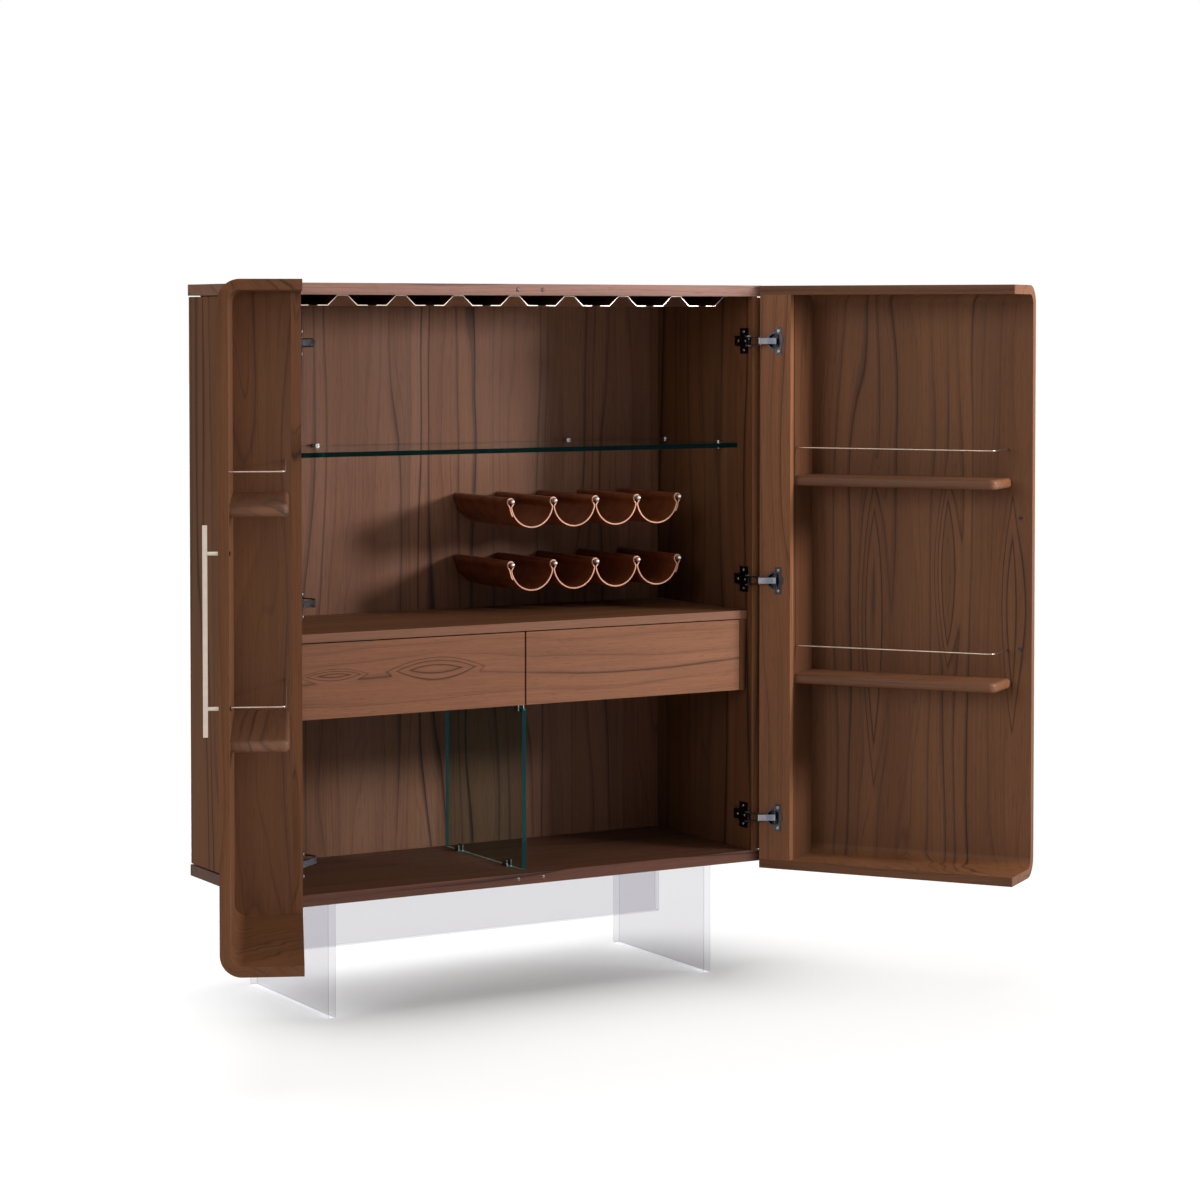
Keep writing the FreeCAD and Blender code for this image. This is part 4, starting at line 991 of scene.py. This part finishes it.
@dataclass
class LinkCaps:
    """The blued cover plates near the cup end of the hinges' outer links."""

    levels: tuple[float, ...] = HINGE_LEVELS
    link_radius: float = 3.4 * MM
    gauge: float = 1.0 * MM
    sunk: float = 0.4 * MM
    height: float = 11.0 * MM
    edge_round: float = 0.35 * MM
    length_share: float = 0.36
    centre_share: float = 0.68

    def build(self, blued: Material) -> list[Object]:
        """Make the plates.

        Args:
            blued: Their finish.

        Returns:
            One piece for each door's outer links.
        """
        places = {item["name"]: Vector(item["pos_m"]) for item in frame["joints"] if "pos_m" in item}
        pieces = []
        for word in SIDE_NAMES.values():
            knee = places[f"{word}_outer_link_turn"]
            reach = places[f"{word}_door_swing"] - places[f"{word}_inner_link_turn"]
            run = Vector((reach.x, reach.y, 0.0))
            ahead = Vector((run.y, -run.x, 0.0)).normalized()
            ahead = ahead if ahead.y < 0.0 else -ahead
            lift = self.link_radius + self.gauge / 2 - self.sunk
            turn = Matrix((run.normalized(), ahead, (0.0, 0.0, 1.0))).transposed().to_4x4()
            size = Matrix.Diagonal((run.length * self.length_share, self.gauge, self.height, 1.0))
            plates = bmesh.new()
            for level in self.levels:
                spot = Vector((knee.x, knee.y, level)) + run * self.centre_share + ahead * lift
                bmesh.ops.create_cube(plates, size=1.0, matrix=Matrix.Translation(spot) @ turn @ size)
            bmesh.ops.recalc_face_normals(plates, faces=plates.faces)
            ease_edges(plates, plates.edges, self.edge_round, 3)
            piece = finish_mesh(f"{word}_link_covers", plates, [blued])
            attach(piece, f"{word}_outer_links")
            pieces.append(piece)
        return pieces


@dataclass
class ClearBase:
    """The clear legs and the board between them, with eased edges, the board a hair short of the legs."""

    glue: float = 0.3 * MM
    ease: float = 1.2 * MM
    flat: float = 0.999

    def build(self, leg: Material, board: Material, arris: Material) -> list[Object]:
        """Make the legs and the board between them, in their own finishes and the darker one of the eased
        edges, which is painted shade.
        """
        return [self.slab("left_leg", leg, arris, 0.0), self.slab("right_leg", leg, arris, 0.0),
                self.slab("leg_stretcher", board, arris, self.glue)]

    def slab(self, node: str, face: Material, arris: Material, short: float) -> Object:
        """Make one slab in the place of its node.

        Args:
            node: The node that it stands for.
            face: The finish of its faces and edges.
            arris: The finish of its eased edges.
            short: How far it stops before the node's ends, top and bottom.

        Returns:
            The finished piece.
        """
        low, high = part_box(node)
        size = Matrix.Diagonal((*(high - low - Vector((2 * short, 0.0, 2 * short))), 1.0))
        block = bmesh.new()
        bmesh.ops.create_cube(block, size=1.0, matrix=Matrix.Translation((low + high) / 2) @ size)
        ease_edges(block, block.edges, self.ease, 2)
        block.normal_update()
        for part in block.faces:
            # The eased edges take the second, darker finish: painted shade.
            part.material_index = int(max(abs(share) for share in part.normal) < self.flat)
        piece = finish_mesh(f"clear_{node}", block, [face, arris])
        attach(piece, "carcass")
        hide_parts(node)
        return piece


@dataclass
class RailFixings:
    """The screws that hold the stemware rails to the top panel, up inside each rail's crown."""

    count: int = 8
    rows: tuple[float, ...] = (-120.0 * MM, 0.0, 120.0 * MM)
    sheet: float = 1.5 * MM
    head: ScrewHead = ScrewHead(radius=4.0 * MM)

    def build(self, plated: Material) -> Object:
        """Make the screws.

        Args:
            plated: Their finish.

        Returns:
            The finished piece.
        """
        low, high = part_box("stemware_rails")
        pitch = (high.x - low.x) / self.count
        heads = bmesh.new()
        for index in range(1, self.count):
            for deep in self.rows:
                seat = Vector((low.x + index * pitch, deep, high.z - self.sheet))
                self.head.add(heads, seat, Vector((0.0, 0.0, -1.0)))
        piece = finish_mesh("stemware_rail_screws", heads, [plated])
        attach(piece, "carcass")
        return piece


class Finishes:
    """Every material of the object, and the nodes that wear each one."""

    CAP_DEPTH = 20.0 * MM
    # Each row, in mm: across from the hinge edge, level, half width, half length.
    DOOR_KNOTS = ((219.0, 764.0, 46.0, 420.0), (390.0, 890.0, 42.0, 260.0), (538.0, 813.0, 42.0, 340.0))
    # Each row, in mm: across from the middle of the object, level, half height, half length.
    DRAWER_KNOTS = ((-212.0, 710.0, 36.0, 130.0), (-453.0, 709.0, 20.0, 90.0))
    PLATED = {"metallic": 1.0, "spread": 0.08, "mark_scale": 60.0, "relief": 0.05}
    # Each row: name, colour, shade, roughness.
    METALS = (
        ("champagne_plating", (0.57, 0.485, 0.41), (0.52, 0.44, 0.37), 0.3),
        # The doors' gallery rails wear a darker copy of the champagne plating: painted shade inside the
        # doors.
        ("gallery_plating", (0.3, 0.225, 0.175), (0.25, 0.185, 0.14), 0.3),
        ("polished_plating", (0.42, 0.4, 0.38), (0.34, 0.325, 0.31), 0.22),
        ("satin_nickel", (0.6, 0.56, 0.52), (0.5, 0.465, 0.43), 0.36),
        ("black_nickel", (0.04, 0.04, 0.046), (0.014, 0.014, 0.017), 0.26),
        ("screw_nickel", (0.3, 0.3, 0.32), (0.2, 0.2, 0.215), 0.26),
        ("cup_nickel", (0.06, 0.06, 0.066), (0.03, 0.03, 0.034), 0.28),
        ("bright_nickel", (0.24, 0.24, 0.258), (0.17, 0.173, 0.19), 0.24),
        ("blued_steel", (0.17, 0.19, 0.24), (0.12, 0.135, 0.17), 0.3),
        ("zinc_runner", (0.6, 0.61, 0.64), (0.46, 0.47, 0.5), 0.34),
        ("black_oxide", (0.03, 0.031, 0.04), (0.016, 0.016, 0.022), 0.36),
    )
    # The acrylic's edges are paler than its faces: a painted highlight along the polished edges.
    ACRYLIC_EDGE_PAINTED_HIGHLIGHT = (0.9, 0.9, 0.93)
    GLASS_IOR, ACRYLIC_IOR = 1.08, 1.01
    WORN = {
        "walnut_sides": ("left_side_panel", "right_side_panel", "drawer_bank_uprights"),
        "walnut_top": ("top_panel",), "walnut_counter": ("counter",), "walnut_back": ("back_panel",),
        "walnut_floor_painted_shade": ("bottom_panel", "drawer_bank_floor"), "champagne_plating": ("stemware_rails",),
        "clear_glass_lying": ("glass_shelf",), "clear_glass_standing": ("glass_divider",),
        "polished_plating": ("shelf_supports", "divider_clips"), "satin_nickel": ("sling_rods",),
        "black_nickel": ("hinge_arms",), "soft_clear_dome": ("door_bumpers",),
        "clear_acrylic_leg": ("left_leg", "right_leg"), "clear_acrylic_stretcher": ("leg_stretcher",),
        "zinc_runner": ("runner_rails",), "latch_grey": ("latch_housings",),
        "saddle_skin": ("upper_wine_sling", "lower_wine_sling"),
    }
    WORN_EACH_SIDE = {
        "walnut_{}_door": ("door_shell", "door_end_board", "door_stile_return"),
        "walnut_{}_stile": ("door_hinge_stile",), "walnut_{}_bins": ("door_shelves",),
        "gallery_plating": ("door_gallery_rails",), "champagne_plating": ("door_handle",),
        "black_oxide": ("door_handle_screws",), "cup_nickel": ("door_hinge_cups",),
        "black_nickel": ("hinge_inner_links",), "bright_nickel": ("hinge_outer_links",),
        "walnut_drawer_fronts": ("drawer_front",),
        "walnut_drawer_boxes": ("drawer_sides", "drawer_back", "drawer_bottom"),
        "zinc_runner": ("drawer_slides", "runner_carriers"), "latch_grey": ("latch_plunger",),
    }

    def __init__(self) -> None:
        """Build the effects and the materials."""
        effects = EffectBook()
        metals = [HardFinish(*row, **self.PLATED) for row in self.METALS]
        clears = [
            # The glass edges glow with painted light.
            ClearFinish("clear_glass_lying", Facing.Z, (0.86, 0.93, 0.915), self.GLASS_IOR,
                        edge=(0.012, 0.1, 0.1), painted_edge_glow=(0.0, 0.0035, 0.004)),
            ClearFinish("clear_glass_standing", Facing.X, (0.55, 0.72, 0.71), self.GLASS_IOR,
                        edge=(0.012, 0.12, 0.13), painted_edge_glow=(0.003, 0.026, 0.03)),
            ClearFinish("clear_acrylic_leg", Facing.X, (0.74, 0.735, 0.76), self.ACRYLIC_IOR,
                        edge=self.ACRYLIC_EDGE_PAINTED_HIGHLIGHT),
            ClearFinish("clear_acrylic_stretcher", Facing.Y, (0.68, 0.675, 0.7), self.ACRYLIC_IOR,
                        edge=self.ACRYLIC_EDGE_PAINTED_HIGHLIGHT),
            # The darker finish of the acrylic's eased edges is painted shade.
            ClearFinish("clear_acrylic_arris", Facing.X, (0.5, 0.5, 0.54), self.ACRYLIC_IOR),
        ]
        others = [
            HardFinish("latch_grey", (0.05, 0.05, 0.055), (0.035, 0.035, 0.04), 0.5),
            HardFinish("soft_clear_dome", (0.42, 0.25, 0.18), (0.34, 0.19, 0.13), 0.2, 0.7),
            LeatherFinish("saddle_skin", (0.17, 0.042, 0.012), (0.11, 0.025, 0.0065),
                          roughness=0.34, cell=1.1 * MM, relief=0.1),
            LeatherFinish("saddle_raw_edge", (0.66, 0.33, 0.22), (0.5, 0.23, 0.15),
                          roughness=0.7, cell=0.5 * MM, relief=0.4),
        ]
        self.book = {item.name: item.build(effects) for item in (*self.walnuts(), *metals, *clears, *others)}

    def walnuts(self) -> list[WalnutFinish]:
        """Choose the veneers, and turn those of the doors with their doors.

        Returns:
            The walnut finishes.
        """
        turns = {side: DoorPlace.read(side).turn for side in SIDE_NAMES}
        shell_low, shell_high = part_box("right_door_shell")
        caps = (shell_low.z + self.CAP_DEPTH, shell_high.z - self.CAP_DEPTH)
        right_door = DoorPlace.read(RIGHT)
        door_knots = tuple(Knot(right_door.spot(across * MM, 0.0, level * MM), wide * MM, tall * MM)
                           for across, level, wide, tall in self.DOOR_KNOTS)
        drawer_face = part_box("left_drawer_front")[0].y
        drawer_knots = tuple(Knot(Vector((across * MM, drawer_face, level * MM)), tall * MM, wide * MM)
                             for across, level, tall, wide in self.DRAWER_KNOTS)
        return [
            WalnutFinish("walnut_sides", Grain.UPRIGHT, offset=(0.21, 0.0, 0.4), gloss=0.02,
                         light=(0.13, 0.057, 0.027), middle=(0.088, 0.038, 0.018)),
            WalnutFinish("walnut_back", Grain.UPRIGHT, light=(0.168, 0.077, 0.046),
                         middle=(0.118, 0.052, 0.031)),
            # The paler front edges of the top, the counter and the floor boards are painted highlight.
            WalnutFinish("walnut_top", Grain.ACROSS, offset=(0.31, 0.12, 0.55),
                         painted_front_highlight=(0.3, 0.16, 0.13)),
            WalnutFinish("walnut_counter", Grain.ACROSS, offset=(0.1, 0.5, 0.25),
                         painted_front_highlight=(0.2, 0.093, 0.058)),
            # The floor boards wear a darker copy of the walnut: painted shade of the low bays.
            WalnutFinish("walnut_floor_painted_shade", Grain.ACROSS, offset=(0.7, 0.2, 0.35), light=(0.082, 0.034, 0.018),
                         middle=(0.058, 0.0235, 0.0125), warm=(0.07, 0.026, 0.0125),
                         painted_front_highlight=(0.105, 0.043, 0.03)),
            WalnutFinish("walnut_drawer_fronts", Grain.ACROSS, rows=30.0, wander=2.0, eyes=2.2, pace=1.5,
                         offset=(0.9, 0.4, 0.15), light=(0.222, 0.095, 0.051),
                         middle=(0.172, 0.072, 0.038), warm=(0.2, 0.079, 0.04), knots=drawer_knots),
            WalnutFinish("walnut_left_door", Grain.UPRIGHT, turn=turns[LEFT], caps=caps,
                         offset=(0.5, 0.1, 0.2)),
            WalnutFinish("walnut_right_door", Grain.UPRIGHT, turn=turns[RIGHT], caps=caps, knots=door_knots),
            *(WalnutFinish(f"walnut_{word}_stile", Grain.UPRIGHT, turn=turns[side],
                           light=(0.23, 0.098, 0.045), middle=(0.16, 0.066, 0.03),
                           warm=(0.195, 0.074, 0.03)) for side, word in SIDE_NAMES.items()),
            *(WalnutFinish(f"walnut_{word}_bins", Grain.ACROSS, turn=turns[side], gloss=0.22)
              for side, word in SIDE_NAMES.items()),
            # A darker copy of the door's walnut for the right stile's return: painted shade, where the door
            # keeps the key lamp off it.
            WalnutFinish("walnut_right_return_painted_shade", Grain.UPRIGHT, turn=turns[RIGHT],
                         light=(0.105, 0.043, 0.019), middle=(0.068, 0.027, 0.012),
                         warm=(0.086, 0.031, 0.012)),
            WalnutFinish("walnut_drawer_boxes", Grain.DEEP),
        ]

    def wardrobe(self) -> dict[str, str]:
        """Pair each node with the name of its material.

        Returns:
            Material names by node.
        """
        worn = {node: finish for finish, nodes in self.WORN.items() for node in nodes}
        for word in SIDE_NAMES.values():
            for finish, nodes in self.WORN_EACH_SIDE.items():
                worn.update({f"{word}_{node}": finish.format(word) for node in nodes})
        # The right return wears the darker copy: painted shade.
        worn["right_door_stile_return"] = "walnut_right_return_painted_shade"
        return worn

    def dress(self) -> None:
        """Give every node its material."""
        for name, finish in self.wardrobe().items():
            slots = frame["nodes"][name].data.materials
            slots.clear()
            slots.append(self.book[finish])
            LOG.info("%s wears %s", name, finish)


@dataclass(frozen=True)
class SunLamp:
    """A soft, even lamp. Its spread, and its turn from straight down, are in degrees."""

    name: str
    reach: Reach
    strength: float
    spread: float
    turn: Triple

    def build(self) -> Object:
        """Hang the lamp.

        Returns:
            The lamp.
        """
        data = bpy.data.lights.new(self.name, "SUN")
        data.energy = self.strength
        data.angle = math.radians(self.spread)
        lamp = stand(self.name, data)
        lamp.rotation_euler = [math.radians(part) for part in self.turn]
        return lamp


@dataclass(frozen=True)
class KeyLamp:
    """The round key lamp, which stands ahead of the object at its right."""

    name: str = "right_key"
    reach: Reach = Reach.OBJECT
    place: Triple = (2.4, -2.4, 1.75)
    aim: Triple = (-0.25, 0.1, 1.15)
    size: float = 0.6
    power: float = 125.0

    def build(self) -> Object:
        """Stand the lamp.

        Returns:
            The lamp.
        """
        data = bpy.data.lights.new(self.name, "AREA")
        data.shape = "DISK"
        data.size = self.size
        data.energy = self.power
        lamp = stand(self.name, data)
        lamp.location = self.place
        lamp.rotation_euler = (Vector(self.aim) - Vector(self.place)).to_track_quat("-Z", "Y").to_euler()
        lamp.visible_camera = False
        return lamp


@dataclass
class Studio:
    """The pale floor, the white surround, the soft lamps and the camera."""

    eye: Triple = (-3.2348, -6.0517, 1.4393)
    pitch: float = 90.0 - 2.08
    heading: float = -30.33
    lens: float = 94.42
    sensor: float = 36.0
    shift: float = -0.1378
    sight: float = 200.0
    ambient: float = 0.11
    floor_colour: Colour = (0.8, 0.8, 0.8)
    floor_glow: float = 0.28
    floor_half: float = 60.0
    floor_drop: float = 0.3 * MM
    lamps: tuple[Union[SunLamp, KeyLamp], ...] = (
        SunLamp("floor_lamp", Reach.FLOOR, 3.05, 80.0, (-22.0, -10.0, 0.0)),
        SunLamp("overhead", Reach.OBJECT, 0.5, 50.0, (8.0, 0.0, 4.0)),
        KeyLamp(),
        SunLamp("front_fill", Reach.OBJECT, 0.43, 40.0, (64.0, 0.0, 12.0)),
        SunLamp("left_fill", Reach.OBJECT, 1.3, 30.0, (75.0, 0.0, -72.0)),
        SunLamp("left_door_fill", Reach.LEFT_DOOR, 1.1, 30.0, (84.0, 0.0, -28.0)),
        SunLamp("back_fill", Reach.OBJECT, 0.9, 60.0, (50.0, 0.0, 150.0)),
    )
    door_parts: tuple[str, ...] = ("end_board", "stile_return", "shelves", "gallery_rails")

    def build(self) -> None:
        """Set the stage. Only the bottom panel shades the floor from the floor's own lamp."""
        self.world()
        floor = [self.floor()]
        inner = [frame["nodes"][f"left_door_{part}"] for part in self.door_parts]
        reached = {Reach.FLOOR: self.lit("lit_floor", "INCLUDE", floor),
                   Reach.OBJECT: self.lit("lit_object", "EXCLUDE", floor),
                   Reach.LEFT_DOOR: self.lit("lit_in_left_door", "INCLUDE", inner)}
        shade = self.lit("floor_shade", "INCLUDE", [frame["nodes"]["bottom_panel"]])
        for lamp in self.lamps:
            linking = lamp.build().light_linking
            linking.receiver_collection = reached[lamp.reach]
            if lamp.reach is Reach.FLOOR:
                linking.blocker_collection = shade
        self.camera()
        bpy.context.scene.view_settings.view_transform = "Standard"

    def world(self) -> None:
        """Surround the object with white where it is seen, and with a plain soft light elsewhere."""
        world = bpy.data.worlds.new("white_surround")
        world.use_nodes = True
        bpy.context.scene.world = world
        graph = Graph(world.node_tree)
        backdrop = next(node for node in world.node_tree.nodes if node.type == "BACKGROUND")
        strength = graph.ramp(graph.shown(), 0.0, 1.0, self.ambient, 1.0)
        graph.fill(backdrop, {"Color": WHITE, "Strength": strength})

    def floor(self) -> Object:
        """Lay a wide pale floor that is white in the light and keeps the shadow.

        Returns:
            The floor.
        """
        mesh = bmesh.new()
        bmesh.ops.create_grid(mesh, x_segments=1, y_segments=1, size=self.floor_half,
                              matrix=Matrix.Translation((0.0, 0.0, -self.floor_drop)))
        material, graph, shader = new_material("pale_floor")
        graph.fill(shader, {"Base Color": self.floor_colour, "Roughness": 0.9, "Specular IOR Level": 0.0,
                            "Emission Color": WHITE,
                            "Emission Strength": graph.times(graph.shown(), self.floor_glow)})
        floor = finish_mesh("studio_floor", mesh, [material])
        return floor

    def lit(self, name: str, state: str, pieces: Sequence[Object]) -> Collection:
        """Gather pieces that a lamp is kept to, or kept off.

        Args:
            name: The collection's name.
            state: Whether the pieces are included or excluded.
            pieces: The pieces.

        Returns:
            The collection.
        """
        chosen = bpy.data.collections.new(name)
        for piece in pieces:
            chosen.objects.link(piece)
        for member in chosen.collection_objects:
            member.light_linking.link_state = state
        return chosen

    def camera(self) -> None:
        """Stand the camera where the photograph was taken from."""
        data = bpy.data.cameras.new("photo_camera")
        data.lens = self.lens
        data.sensor_width = self.sensor
        data.shift_y = self.shift
        data.clip_end = self.sight
        camera = stand("photo_camera", data)
        camera.location = self.eye
        camera.rotation_euler = (math.radians(self.pitch), 0.0, math.radians(self.heading))
        bpy.context.scene.camera = camera


def main() -> None:
    """Dress the nodes, add the finer pieces and set the stage."""
    logging.basicConfig(level=logging.INFO, format="%(message)s")
    finishes = Finishes()
    finishes.dress()
    book = finishes.book
    leather = (book["saddle_skin"], book["saddle_raw_edge"])
    pieces = [WineSling(row).build(*leather) for row in ("lower", "upper")]
    pieces += HingeFixings().build(book["screw_nickel"])
    pieces += LinkCaps().build(book["blued_steel"])
    pieces += ClearBase().build(*(book[f"clear_acrylic_{part}"] for part in ("leg", "stretcher", "arris")))
    pieces.append(RailFixings().build(book["champagne_plating"]))
    for piece in pieces:
        LOG.info("made %s", piece.name)
    Studio().build()


if __name__ == "__main__":
    main()
